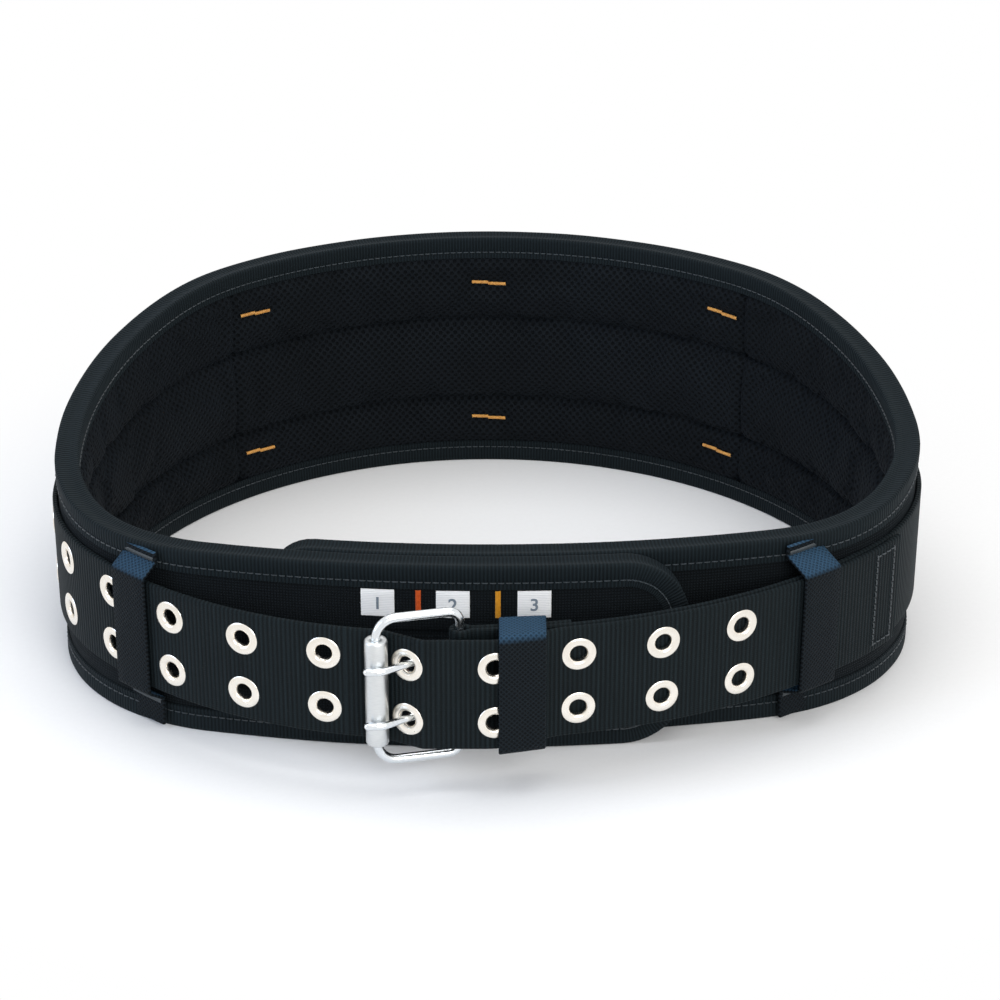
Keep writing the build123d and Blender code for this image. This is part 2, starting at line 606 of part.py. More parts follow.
def make_tongue(row):
    """Wire from an eye on the heel bar, through the hole, bent out over the roller."""
    hole, heading = at_length(SPAN_PATH, BUCKLE_PAIR)
    over_roller = ROLLER_Y - ROLLER_RADIUS - CLEAR - TONGUE / 2
    slope = degrees(atan2(hole[1] - over_roller, hole[0] - ROLLER_X - ROLLER_RADIUS / 2))
    knee = (hole[0] - (hole[1] - over_roller) / sin(radians(slope)) * cos(radians(slope)), over_roller)
    root = (HEEL_X - WIRE / 2 - RUNNING - TONGUE_EYE_WALL / 2, HEEL_Y)
    foot = (hole[0] + TONGUE_FOOT * cos(radians(slope)), hole[1] + TONGUE_FOOT * sin(radians(slope)))
    tip = (ROLLER_X - TONGUE_PAST_ROLLER, over_roller)
    points = [(x, y, 0) for x, y in (root, foot, knee, tip)]
    path = FilletPolyline(*points, radius=TONGUE_BEND)
    section = Plane(origin=path @ 0, z_dir=path % 0) * Circle(TONGUE / 2)
    shank = sweep(section, path=path)
    end = Pos(*tip, 0) * Sphere(TONGUE / 2)
    eye = Pos(HEEL_X, HEEL_Y, 0) * Cylinder(WIRE / 2 + RUNNING + TONGUE_EYE_WALL, TONGUE_EYE_WIDTH)
    bore = Pos(HEEL_X, HEEL_Y, 0) * Cylinder(WIRE / 2 + RUNNING, 2 * TONGUE_EYE_WIDTH)
    return Pos(0, 0, STRAP_Z + row * GROMMET_ROWS / 2) * solid(shank + end + eye - bore)


# ---- keeper and loops ----------------------------------------------------------------------------
def make_keeper():
    """A loop of webbing: its back wall follows the lower layers, its front wall the free end."""
    low = STRAP_Z - STRAP_WIDTH / 2 - KEEPER_ABOVE
    start = KEEPER_LEFT_X - HEEL_X
    back = [beyond_heel(ahead, 2 * layer_offset + KEEPER_BACK) for ahead in (start, start + KEEPER_WIDTH)]
    front = end_level - HALF_STRAP - KEEPER_FRONT
    right_x = KEEPER_LEFT_X + KEEPER_WIDTH
    front_right = front + KEEPER_WIDTH * tan(radians(KEEPER_SLANT))

    def block(thick, height, round_by):
        corners = [(KEEPER_LEFT_X, front - thick), (right_x, front_right - thick),
                   (right_x, back[1][1] + thick), (KEEPER_LEFT_X, back[0][1] + thick)]
        shape = Pos(0, 0, low - thick) * Solid.extrude(Face(Wire.make_polygon(corners, close=True)),
                                                       Vector(0, 0, height))
        folds = [edge for edge in shape.edges() if abs(edge.center().X - (KEEPER_LEFT_X + right_x) / 2) < 1]
        return fillet(folds, round_by)

    return solid(block(KEEPER, STRAP_WIDTH + 2 * KEEPER_ABOVE + 2 * KEEPER, 2 * KEEPER)
                 - block(0, STRAP_WIDTH + 2 * KEEPER_ABOVE, KEEPER))


def pad_region(side, inner, outer):
    return band(PANELS[side], inner, outer, -10, BACK_HEIGHT + 10)


def make_loop(point, heading, side, depth, root):
    """Upright webbing over the strap, its feet on the pad and under the binding.

    point and heading are on the strap's centre line, depth is how far the pad's face lies behind it.
    """
    frame = facing(point, heading, strap_height(point[1]))
    over = HALF_STRAP + LOOP_OVER
    edge = STRAP_WIDTH / 2 + LOOP_ABOVE
    foot = STRAP_WIDTH / 2 + root
    slope = (foot - edge) / (depth + over)
    deep = depth + PAD / 2
    far = edge + slope * (deep + over)
    inside = [(-deep, -far), (over, -edge), (over, edge), (-deep, far)]
    outside = [(-deep, -far - LOOP), (over + LOOP, -edge - LOOP), (over + LOOP, edge + LOOP),
               (-deep, far + LOOP)]

    def prism(corners):
        points = [(-LOOP_WIDTH / 2, y, z) for z, y in corners]
        wire = Wire([Edge.make_line(a, b) for a, b in zip(points, points[1:] + points[:1])])
        return frame * Solid.extrude(Face(wire), Vector(LOOP_WIDTH, 0, 0))

    hat = prism(outside) - prism(inside) - pad_region(side, -2 * PAD, 0)
    slab = frame * Box(LOOP_WIDTH, 2 * TALL, 2 * (deep + PAD))
    feet = band(PANELS[side], 0, LOOP, BINDING, BACK_HEIGHT) & under_top_edge(drop=BINDING) & slab
    clear = frame * Box(2 * LOOP_WIDTH, 2 * foot, 4 * (deep + PAD))
    tape = band(PANELS[side], 0, BINDING, 0, BACK_HEIGHT) & under_top_edge()
    window = band(PANELS[side], -1, 2 * BINDING, BINDING_LAP, BACK_HEIGHT) & under_top_edge(drop=BINDING_LAP)
    return solid(hat + (feet - clear) - (tape - window))


def pad_depth_behind(point, heading, centre, radius):
    """Distance from a point back along the strap's normal to a round face of the pad."""
    inward = (-sin(radians(heading)), cos(radians(heading)))
    off = (point[0] - centre[0], point[1] - centre[1])
    along = off[0] * inward[0] + off[1] * inward[1]
    return -along - sqrt(along ** 2 - (off[0] ** 2 + off[1] ** 2 - radius ** 2))


BACK_LOOPS = {"belt_loop_back_left": 90 + BACK_LOOP_SPREAD, "belt_loop_back_centre": 90.0,
              "belt_loop_back_right": 90 - BACK_LOOP_SPREAD}
left_loop_angle = left_turn + degrees(LEFT_LOOP_AT / left_radius)
right_loop_angle = lower_turn - degrees(RIGHT_LOOP_AT / end_radius)


def make_loops():
    loops = {}
    for name, angle in BACK_LOOPS.items():
        point = polar(back_centre, strap_back, angle)
        loops[name] = make_loop(point, angle + 90, "back", STRAP_OFF_PAD + HALF_STRAP, LOOP_ROOT_BACK)
    point = polar(left_bend_centre, left_radius, left_loop_angle)
    depth = pad_depth_behind(point, left_loop_angle + 90, left_centre, SIDE_RADIUS)
    loops["belt_loop_left_front"] = make_loop(point, left_loop_angle + 90, "left", depth, LOOP_ROOT_FRONT)
    point = polar(lower_centre, end_radius, right_loop_angle)
    depth = pad_depth_behind(point, right_loop_angle + 90, right_centre, SIDE_RADIUS)
    loops["belt_loop_right_front"] = make_loop(point, right_loop_angle + 90, "right", depth,
                                               LOOP_ROOT_FRONT)
    return loops


def make_tacks():
    """Bar tacks of the three back loops, where they show on the lining."""
    tacks = []
    half = degrees(TACK_LENGTH / 2 / back_radius)
    for angle in BACK_LOOPS.values():
        for row in (1, -1):
            height = STRAP_BACK_Z + row * (STRAP_WIDTH / 2 + LOOP_ROOT_BACK + LOOP / 2)
            path = [arc(back_centre, back_radius, angle - half, angle + half)]
            tacks.append(band(path, -PAD - TACK, -PAD, height - TACK_HEIGHT / 2, height + TACK_HEIGHT / 2))
    return Compound(tacks)


# ---- labels --------------------------------------------------------------------------------------
def on_flap(x, width, inner, outer, low, high):
    """A small flat thing on the outer flap, between two heights."""
    middle = 270 + degrees(x / flap_radius)
    half = degrees(width / 2 / flap_radius)
    path = [arc(flap_centre, flap_radius, middle - half, middle + half)]
    return band(path, inner, outer, low, high)


# strokes of the plain numbers, as (x, z, width, height) in halves of the digit's height
STROKES = {1: [(0, 0, 0, 2)],
           2: [(0, 1, 1, 0), (0.5, 0.5, 0, 1), (0, 0, 1, 0), (-0.5, -0.5, 0, 1), (0, -1, 1, 0)],
           3: [(0, 1, 1, 0), (0.5, 0, 0, 2), (0, 0, 1, 0), (0, -1, 1, 0)]}


def make_digit(number):
    centre = (LABEL_Z[0] + LABEL_Z[1]) / 2
    unit = DIGIT_HEIGHT / 2
    digit = None
    for x, z, wide, tall in STROKES[number]:
        across = wide * unit + DIGIT_STROKE
        high = tall * unit + DIGIT_STROKE
        middle = centre + z * unit
        stroke = on_flap(LABEL_X[number - 1] + x * unit, across, LABEL, LABEL + DIGIT,
                         middle - high / 2, middle + high / 2)
        digit = stroke if digit is None else digit + stroke
    return solid(digit)


# ---- stitching -----------------------------------------------------------------------------------


def stitch_line(path, at):
    """An upright bar of thread on the outer face of the webbing, at a distance along its path."""
    point, heading = at_length(path, at)
    bar = Box(STITCH_WIDTH, STRAP_WIDTH - 2 * STITCH_MARGIN, STITCH)
    return facing(point, heading, strap_height(point[1])) * Pos(0, 0, HALF_STRAP + STITCH / 2) * bar


def make_tip_stitching():
    length = path_length(END_PATH)
    return Compound([stitch_line(END_PATH, length - back) for back in TIP_STITCHES])


def make_chape_stitching():
    return Compound([stitch_line(STRAP_PATH, CHAPE_RETURN - back) for back in CHAPE_STITCHES])


# ---- assembly ------------------------------------------------------------------------------------
def make_parts():
    parts = {}
    for side in PANELS:
        parts[f"outer_cover_{side}"] = pad_layer(side, -COVER, 0, BINDING)
        parts[f"foam_{side}"] = foam_panel(side)
        parts[f"mesh_lining_{side}"] = pad_layer(side, -PAD, -PAD + LINING, BINDING)
    (parts["binding_top"], parts["binding_bottom"], parts["binding_left_end"],
     parts["binding_right_end"]) = binding_parts()
    patch_low, patch_high = PATCH_MARGIN, FRONT_HEIGHT - PATCH_MARGIN
    patch = degrees(PATCH_HALF / flap_radius)
    parts["hook_patch"] = band([arc(flap_centre, inner_radius, 270 - patch, 270 + patch)], 0, PATCH,
                               patch_low, patch_high)
    parts["loop_patch"] = band([arc(flap_centre, flap_radius, 270 - patch, 270 + patch)],
                               -PAD - PATCH, -PAD, patch_low, patch_high)
    parts.update(make_loops())
    parts["bar_tacks"] = make_tacks()
    for number, x in enumerate(LABEL_X, start=1):
        parts[f"size_label_{number}"] = on_flap(x, LABEL_WIDTH, 0, LABEL, *LABEL_Z)
    parts["size_digits"] = Compound([make_digit(number) for number in STROKES])
    for number, x in enumerate(MARK_X, start=1):
        parts[f"size_mark_{number}"] = on_flap(x, MARK_WIDTH, 0, LABEL, *LABEL_Z)
    parts["strap"] = make_strap()
    parts["strap_span"] = pierced(webbing(SPAN_PATH), "buckle")
    parts["strap_free_end"] = pierced(webbing(END_PATH), "free")
    parts["tip_stitching"] = make_tip_stitching()
    parts["chape_stitching"] = make_chape_stitching()
    plain = grommet_frames("free") + grommet_frames("left")
    parts["grommets"] = Compound([grommet(frame) for frame in plain])
    parts["grommet_washers"] = Compound([washer(frame) for frame in plain])
    parts["buckle_grommets"] = Compound([grommet(frame) for frame in grommet_frames("buckle")])
    parts["buckle_washers"] = Compound([washer(frame) for frame in grommet_frames("buckle")])
    parts["buckle_frame"] = make_frame()
    parts["roller"] = make_roller()
    parts["upper_tongue"] = make_tongue(1)
    parts["lower_tongue"] = make_tongue(-1)
    parts["keeper"] = make_keeper()
    return parts


parts = make_parts()
box = Compound(list(parts.values())).bounding_box()
shift = Pos(-(box.min.X + box.max.X) / 2, -(box.min.Y + box.max.Y) / 2, 0)
os.makedirs("parts", exist_ok=True)
for name, shape in parts.items():
    export_step(shift * shape, f"parts/{name}.step")

offset = (shift.position.X, shift.position.Y)
print("origin moved by", offset)
print("box", box.min, box.max)
print("heel bar", HEEL_X + offset[0], HEEL_Y + offset[1], "roller", ROLLER_X + offset[0], ROLLER_Y + offset[1])
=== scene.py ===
import bpy
from math import acos, atan2, cos, degrees, hypot, pi, radians, sin, sqrt
from mathutils import Matrix, Vector, noise


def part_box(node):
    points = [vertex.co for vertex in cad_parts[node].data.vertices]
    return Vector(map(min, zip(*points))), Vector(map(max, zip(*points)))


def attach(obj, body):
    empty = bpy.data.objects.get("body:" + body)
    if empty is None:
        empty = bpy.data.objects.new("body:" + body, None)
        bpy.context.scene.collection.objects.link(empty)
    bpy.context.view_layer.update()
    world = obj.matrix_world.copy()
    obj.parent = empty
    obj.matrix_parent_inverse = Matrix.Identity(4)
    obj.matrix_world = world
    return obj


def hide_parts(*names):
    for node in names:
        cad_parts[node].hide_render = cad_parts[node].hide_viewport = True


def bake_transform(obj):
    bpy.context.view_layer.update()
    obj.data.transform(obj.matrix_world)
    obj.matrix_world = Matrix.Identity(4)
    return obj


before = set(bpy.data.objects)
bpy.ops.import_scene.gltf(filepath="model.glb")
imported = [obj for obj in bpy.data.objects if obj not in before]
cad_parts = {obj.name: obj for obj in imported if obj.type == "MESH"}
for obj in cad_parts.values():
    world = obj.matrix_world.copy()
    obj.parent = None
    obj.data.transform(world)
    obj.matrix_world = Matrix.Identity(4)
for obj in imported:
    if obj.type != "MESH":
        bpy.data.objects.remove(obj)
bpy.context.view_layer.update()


# ---- outer cover of the pad ----------------------------------------------------------------------
# Three panels of black woven polyester over the foam: a tall back panel and two wings that overlap
# in front. They are cut flat, quilted in three long channels and bent round the waist by the strap.
MM = 0.001
PAD_HALF_WIDTH, PAD_HALF_DEPTH, PAD_THICK = 192.0, 149.5, 9.0
BACK_HEIGHT, FRONT_HEIGHT = 123.0, 87.0
TAPER_BACK_Y, TAPER_FRONT_Y, TAPER_EASE = 86.0, -104.0, 0.10
SIDE_RADIUS, SIDE_Y = 90.0, -48.0
OUTER_REACH, INNER_REACH, FLAP_GAP = 85.0, 95.0, 2.3    # how far each flap runs past the front's middle
OUTER_CORNER, INNER_CORNER = 28.0, 20.0
STRAP_Z, STRAP_BACK_Z = 47.5, 61.5
LOOP_ANGLES, PANEL_JOINS = (129.0, 90.0, 51.0), (47.0, 133.0)
TACK_RISE = 37.2
ROLLER = (-45.9, -184.4)
roller_low, roller_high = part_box("roller")
shift_x = (roller_low.x + roller_high.x) / 2 - ROLLER[0] * MM
shift_y = (roller_low.y + roller_high.y) / 2 - ROLLER[1] * MM


def polar(centre, radius, angle):
    return (centre[0] + radius * cos(radians(angle)), centre[1] + radius * sin(radians(angle)))


def direction(origin, point):
    return degrees(atan2(point[1] - origin[1], point[0] - origin[0]))


def arc(centre, radius, start, end):
    return ("arc", centre, radius, start, end)


def line(start, end):
    return ("line", start, end)


def piece_length(part):
    if part[0] == "arc":
        return abs(radians(part[4] - part[3])) * part[2]
    return hypot(part[2][0] - part[1][0], part[2][1] - part[1][1])


def at_length(path, distance):
    """Point and heading at a distance along a path, which runs on past its two ends."""
    for number, part in enumerate(path):
        length = piece_length(part)
        if distance <= length or number == len(path) - 1:
            share = distance / length
            if part[0] == "arc":
                _, centre, radius, start, end = part
                angle = start + (end - start) * share
                return polar(centre, radius, angle), angle + (90 if end > start else -90)
            _, a, b = part
            return ((a[0] + (b[0] - a[0]) * share, a[1] + (b[1] - a[1]) * share), direction(a, b))
        distance -= length


def path_length(path):
    return sum(piece_length(part) for part in path)


def front_radius(across, ahead, side):
    return (across ** 2 + ahead ** 2 - side ** 2) / (2 * (ahead - side))


left_centre = (-(PAD_HALF_WIDTH - SIDE_RADIUS), SIDE_Y)
back_radius = front_radius(left_centre[0], PAD_HALF_DEPTH - SIDE_Y, SIDE_RADIUS)
back_centre = (0.0, PAD_HALF_DEPTH - back_radius)
flap_radius = front_radius(left_centre[0], PAD_HALF_DEPTH + SIDE_Y, SIDE_RADIUS)
flap_centre = (0.0, -PAD_HALF_DEPTH + flap_radius)
inner_radius = flap_radius - PAD_THICK - FLAP_GAP
reach_back, reach_front = back_radius - SIDE_RADIUS, inner_radius - SIDE_RADIUS
right_y = ((reach_back ** 2 - reach_front ** 2 - back_centre[1] ** 2 + flap_centre[1] ** 2)
           / (2 * (flap_centre[1] - back_centre[1])))
right_centre = (sqrt(reach_back ** 2 - (right_y - back_centre[1]) ** 2), right_y)
right_back, left_back = direction(back_centre, right_centre), direction(back_centre, left_centre) % 360
right_front, left_front = direction(flap_centre, right_centre), direction(flap_centre, left_centre) % 360
left_tip = 270 + degrees(OUTER_REACH / flap_radius)
right_tip = -90 - degrees(INNER_REACH / inner_radius)
PAD_PATH = [arc(flap_centre, inner_radius, right_tip, right_front),
            arc(right_centre, SIDE_RADIUS, right_front, right_back),
            arc(back_centre, back_radius, right_back, left_back),
            arc(left_centre, SIDE_RADIUS, left_back, left_front),
            arc(flap_centre, flap_radius, left_front, left_tip)]
PAD_LENGTH = path_length(PAD_PATH)


def on_back(angle):
    """Distance along the pad at which its back arc reaches an angle."""
    return path_length(PAD_PATH[:2]) + radians(angle - right_back) * back_radius


TACKS = [(on_back(angle), STRAP_BACK_Z + row * TACK_RISE) for angle in LOOP_ANGLES for row in (1, -1)]
back_start, back_end = (on_back(angle) for angle in PANEL_JOINS)
PANELS = {"right": (0.0, back_start), "back": (back_start, back_end), "left": (back_end, PAD_LENGTH)}


def pad_top(y):
    """Height of the pad's top edge: low in front, high at the back, eased into the slope."""
    ease = TAPER_EASE
    share = (y - TAPER_FRONT_Y) / (TAPER_BACK_Y - TAPER_FRONT_Y)
    share = min(max(share, -ease), 1 + ease)
    if share < ease:
        share = (share + ease) ** 2 / (4 * ease)
    elif share > 1 - ease:
        share = 1 - (1 + ease - share) ** 2 / (4 * ease)
    return FRONT_HEIGHT + (BACK_HEIGHT - FRONT_HEIGHT) * share


def pad_height(s):
    return pad_top(at_length(PAD_PATH, s)[0][1])


def stand(path, s, height, out):
    """A point at a distance along a path, a height, and a distance out from it, in the row's metres."""
    (x, y), heading = at_length(path, s)
    return Vector(((x + out * sin(radians(heading))) * MM + shift_x,
                   (y - out * cos(radians(heading))) * MM + shift_y, height * MM))


def deselect():
    bpy.ops.object.select_all(action="DESELECT")


def choose(*pieces):
    deselect()
    for piece in pieces:
        piece.select_set(True)
    bpy.context.view_layer.objects.active = pieces[0]


def sheet(name, columns, rows):
    """A flat sheet in millimetres, with its points on these columns (x) and rows (y)."""
    deselect()
    bpy.ops.mesh.primitive_grid_add(x_subdivisions=len(columns) - 1, y_subdivisions=len(rows) - 1,
                                    size=1)
    piece = bpy.context.object
    piece.name = name
    for vertex in piece.data.vertices:
        i = round((vertex.co.x + 0.5) * (len(columns) - 1))
        j = round((vertex.co.y + 0.5) * (len(rows) - 1))
        vertex.co = (columns[i], rows[j], 0)
    return piece


def evenly(start, end, step):
    count = max(1, round(abs(end - start) / step))
    return [start + (end - start) * k / count for k in range(count + 1)]


def apply(piece, kind, **settings):
    """Add one modifier and apply it."""
    choose(piece)
    modifier = piece.modifiers.new(kind, kind)
    for name, value in settings.items():
        setattr(modifier, name, value)
    bpy.ops.object.modifier_apply(modifier=modifier.name)


def keep_flat(piece):
    """Keep the flat cloth's own coordinates, in metres, for the weave to follow."""
    layer = piece.data.uv_layers.get("flat") or piece.data.uv_layers.new(name="flat")
    for loop in piece.data.loops:
        point = piece.data.vertices[loop.vertex_index].co
        layer.data[loop.index].uv = (point.x * MM, point.y * MM)
    for other in [layer.name for layer in piece.data.uv_layers if layer.name != "flat"]:
        piece.data.uv_layers.remove(piece.data.uv_layers[other])


def move_points(piece, place):
    for vertex in piece.data.vertices:
        vertex.co = place(*vertex.co)
    piece.data.update()


def smooth(piece, angle=40.0):
    choose(piece)
    bpy.ops.object.shade_smooth_by_angle(angle=radians(angle))


def outward(piece, merge=0.004 * MM):
    """Merge points nearer to each other than this, if it isn't 0, and turn every face out."""
    choose(piece)
    bpy.ops.object.mode_set(mode="EDIT")
    bpy.ops.mesh.select_all(action="SELECT")
    if merge:
        bpy.ops.mesh.remove_doubles(threshold=merge)
    bpy.ops.mesh.normals_make_consistent(inside=False)
    bpy.ops.object.mode_set(mode="OBJECT")


def colour(code):
    """sRGB hex to linear."""
    values = [int(code[k:k + 2], 16) / 255 for k in (1, 3, 5)]
    return [v / 12.92 if v <= 0.04045 else ((v + 0.055) / 1.055) ** 2.4 for v in values] + [1.0]


def node(tree, kind, links=None, output=0, **settings):
    """Add one node with its settings, its inputs' values and its links, and give one of its outputs."""
    made = tree.nodes.new("ShaderNode" + kind)
    for name, value in settings.items():
        setattr(made, name, value)
    for socket, value in (links or {}).items():
        if isinstance(value, bpy.types.NodeSocket):
            tree.links.new(value, made.inputs[socket])
        else:
            made.inputs[socket].default_value = value
    return made.outputs[output]


def new_material(name, **values):
    material = bpy.data.materials.new(name)
    material.use_nodes = True
    shader = material.node_tree.nodes["Principled BSDF"]
    for socket, value in values.items():
        shader.inputs[socket.replace("_", " ")].default_value = value
    return material, material.node_tree, shader


def surface(tree, shader, tone, height, depth_mm):
    """Give the shader its finished colour, and a relief of this depth unless it is 0."""
    tree.links.new(tone, shader.inputs["Base Color"])
    if depth_mm:
        relief = node(tree, "Bump", {"Height": height, "Distance": depth_mm * MM, "Strength": 1.0})
        tree.links.new(relief, shader.inputs["Normal"])


def flat_axes(tree):
    """The flat cloth's coordinates, and each of the two by itself, in metres."""
    uv = node(tree, "UVMap", uv_map="flat")
    along = node(tree, "SeparateXYZ", {0: uv})
    return uv, along, along.node.outputs[1]


def ripple(tree, value, spacing_mm):
    """A sine wave from 0 to 1 with this spacing."""
    turned = node(tree, "Math", {0: value, 1: 2 * pi / (spacing_mm * MM)}, operation="MULTIPLY")
    wave = node(tree, "Math", {0: turned}, operation="SINE")
    return node(tree, "MapRange", {"Value": wave, "From Min": -1.0, "From Max": 1.0})


# Woven polyester, oxford weave: matt near-black slate with a faint grid of threads, drawn at 1.3 mm
# so that it shows, a little dust-grey variation and a low cloth sheen.
cover_cloth, tree, shader = new_material("woven_polyester_cover", Roughness=0.8, Sheen_Weight=0.04,
                                         Sheen_Roughness=0.5, Sheen_Tint=colour("#9fb4c4"),
                                         Specular_IOR_Level=0.07)
uv, along, up = flat_axes(tree)
weave = node(tree, "Math", {0: ripple(tree, along, 1.3), 1: ripple(tree, up, 1.3)}, operation="MULTIPLY")
cloud = node(tree, "TexNoise", {"Vector": uv, "Scale": 40.0, "Detail": 4.0})
tone = node(tree, "Mix", {"Factor": cloud, 6: colour("#07090b"), 7: colour("#0f1315")}, 2, data_type="RGBA")
tone = node(tree, "Mix", {"Factor": weave, 6: tone, 7: colour("#181e22")}, 2, data_type="RGBA")
surface(tree, shader, tone, weave, 0.35)


SEAMS = (0.28, 0.64)                     # the two long seams, as shares of a panel's height
SEAM_HALF_WIDTH = 0.024                  # of a seam's groove, as a share of the height
CHANNEL_ROWS = (0.0, 0.02, 0.04, 0.07, 0.1, 0.15, 0.21, 0.28, 0.35, 0.42, 0.5, 0.58, 0.65, 0.72, 0.79,
                0.85, 0.9, 0.93, 0.96, 0.98)
EDGE_INSET, CLOTH_THICK = 0.9, 0.9
LAP = OUTER_REACH + INNER_REACH + 10.0   # the flaps' overlap with a little to spare
PUFF_FRAMES = 16


def held(share):
    return min(1.0, max(0.0, share))


def crowned(distance):
    """Rise of a channel, full at a sixth of the height from the nearest seam."""
    return sin(min(1.0, distance * 6) * pi / 2)


def from_seam(v, seams=SEAMS):
    return min(abs(v - seam) for seam in seams)


def quilt(v, seam_dip, crown):
    """Distance out of a quilted face: pulled in sharply at the seams and crowned between them."""
    nearest = from_seam(v)
    lift = min(1.0, nearest / SEAM_HALF_WIDTH)
    lift = lift * lift * (3 - 2 * lift)
    return -seam_dip * (1 - lift) + crown * crowned(min(nearest, v, 1 - v))


def panel_rows():
    """Rows up a panel, as shares of its height, closer together at the two seams."""
    edges = (0.0,) + SEAMS + (1.0,)
    rows = [low + (high - low) * share for low, high in zip(edges, edges[1:]) for share in CHANNEL_ROWS]
    return rows + [1.0]


def pucker(s, v, seed):
    """Small uneven wrinkles that run across the channels and die out away from the seams."""
    fade = max(0.0, 1 - from_seam(v) * 12)
    return fade * noise.noise(Vector((s / 7.0, v * 2.0, seed)))


def flap_limits(s, inset):
    """Lowest and highest point of the pad at a distance along it, with the flaps' corners rounded."""
    low, high = inset, pad_height(s) - inset
    for corner, from_end in ((INNER_CORNER, s), (OUTER_CORNER, PAD_LENGTH - s)):
        if from_end < corner:
            across = corner - max(from_end, inset)
            drop = (corner - inset) - sqrt(max((corner - inset) ** 2 - across ** 2, 0.0))
            low, high = low + drop, high - drop
    return low, high


def puff(piece, sewn, pressure, cap):
    """Let the flat fabric swell and wrinkle between its sewn points, no further than the cap in mm."""
    before = [vertex.co.copy() for vertex in piece.data.vertices]
    for vertex in piece.data.vertices:
        vertex.co *= MM
    piece.vertex_groups.new(name="sewn").add(sewn, 1.0, "REPLACE")
    choose(piece)
    cloth = piece.modifiers.new("Cloth", "CLOTH")
    cloth.settings.quality = 5
    cloth.settings.mass = 0.15
    cloth.settings.tension_stiffness = cloth.settings.compression_stiffness = 10.0
    cloth.settings.bending_stiffness = 0.05
    cloth.settings.use_pressure = True
    cloth.settings.uniform_pressure_force = pressure
    cloth.settings.vertex_group_mass = "sewn"
    cloth.settings.shrink_min = -0.035
    cloth.settings.effector_weights.gravity = 0.0
    cloth.collision_settings.use_collision = False
    cloth.point_cache.frame_end = PUFF_FRAMES
    for step in range(1, PUFF_FRAMES + 1):
        bpy.context.scene.frame_set(step)
    bpy.ops.object.modifier_apply(modifier=cloth.name)
    piece.vertex_groups.clear()
    for vertex, start in zip(piece.data.vertices, before):
        moved = vertex.co / MM - start
        vertex.co = start + moved * min(1.0, cap / max(moved.length, 1e-9))
    bpy.context.scene.frame_set(1)


def loose_round_loops(s, v, height):
    """How slack the back cover is: held flat by the strap's band and by the loops, loose elsewhere."""
    fall = (BACK_HEIGHT - pad_height(s)) / (BACK_HEIGHT - FRONT_HEIGHT)
    off_strap = held((abs(height - STRAP_BACK_Z + (STRAP_BACK_Z - STRAP_Z) * fall) - 27.0) / 5.0)
    off_loops = min(held((abs(s - loop_s) - 12.0) / 12.0) for loop_s, _ in TACKS)
    return 1.5 * off_strap * off_loops * crowned(from_seam(v, (0.0,) + SEAMS + (1.0,)))


def quilted_panel(name, side, face, out, seam_dip, crown, wrinkle):
    """One panel's face: +1 is the cover, -1 the lining, whose faces look at the wearer."""
    start, end = max(PANELS[side][0], EDGE_INSET), min(PANELS[side][1], PAD_LENGTH - EDGE_INSET)
    joins = [end for end in PANELS[side] if 0 < end < PAD_LENGTH]
    piece = sheet(name, evenly(start, end, 4.0), panel_rows())
    seed = {"right": 1.0, "back": 2.0, "left": 3.0}[side] + (0 if face > 0 else 10)

    def shape(s, v, _):
        low, high = flap_limits(s, EDGE_INSET)
        height = low + (high - low) * v
        dip = seam_dip * max(0.0, 1 - min(abs(s - join) for join in joins) / 5.0)
        in_lap = s < LAP if face > 0 else s > PAD_LENGTH - LAP
        swell = quilt(v, seam_dip, 0.3 if in_lap else crown) + wrinkle * pucker(s, v, seed)
        swell -= (swell + 0.3) * (1 - held((min(height - low, high - height) - 9.0) / 5.0))
        if face > 0 and 340 < s < PAD_LENGTH - 330:
            swell += loose_round_loops(s, v, height)
        if face < 0:
            for tack_s, tack_z in TACKS:
                near = hypot(max(abs(s - tack_s) - 9.0, 0.0) / 7.0,
                             max(abs(height - tack_z) - 1.5, 0.0) / 7.0)
                swell -= (swell + 0.5) * max(0.0, 1 - near) ** 1.5
        return s, height, face * (swell - dip)

    move_points(piece, shape)
    keep_flat(piece)
    if face < 0:
        sewn = []
        for vertex in piece.data.vertices:
            s, height, _ = vertex.co
            low, high = flap_limits(s, EDGE_INSET)
            share = (height - low) / max(high - low, 1.0)
            on_seam = from_seam(share) < 0.008 or min(height - low, high - height) < 12
            on_end = min(abs(s - start), abs(s - end)) < 1.0
            on_tack = any(abs(s - tack_s) < 10 and abs(height - tack_z) < 3 for tack_s, tack_z in TACKS)
            if on_seam or on_end or on_tack or s > PAD_LENGTH - LAP - 5:
                sewn.append(vertex.index)
        puff(piece, sewn, -4.0, 1.4)
    apply(piece, "SOLIDIFY", thickness=CLOTH_THICK, offset=-face)
    move_points(piece, lambda s, z, d: stand(PAD_PATH, s, z, out + d))
    outward(piece)
    smooth(piece, 60)
    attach(piece, "belt")
    return piece


for side in PANELS:
    cover = quilted_panel(f"cover_{side}", side, 1, 0.0, 1.6, 0.3, 0.35)
    cover.data.materials.append(cover_cloth)
    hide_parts(f"outer_cover_{side}", f"foam_{side}")


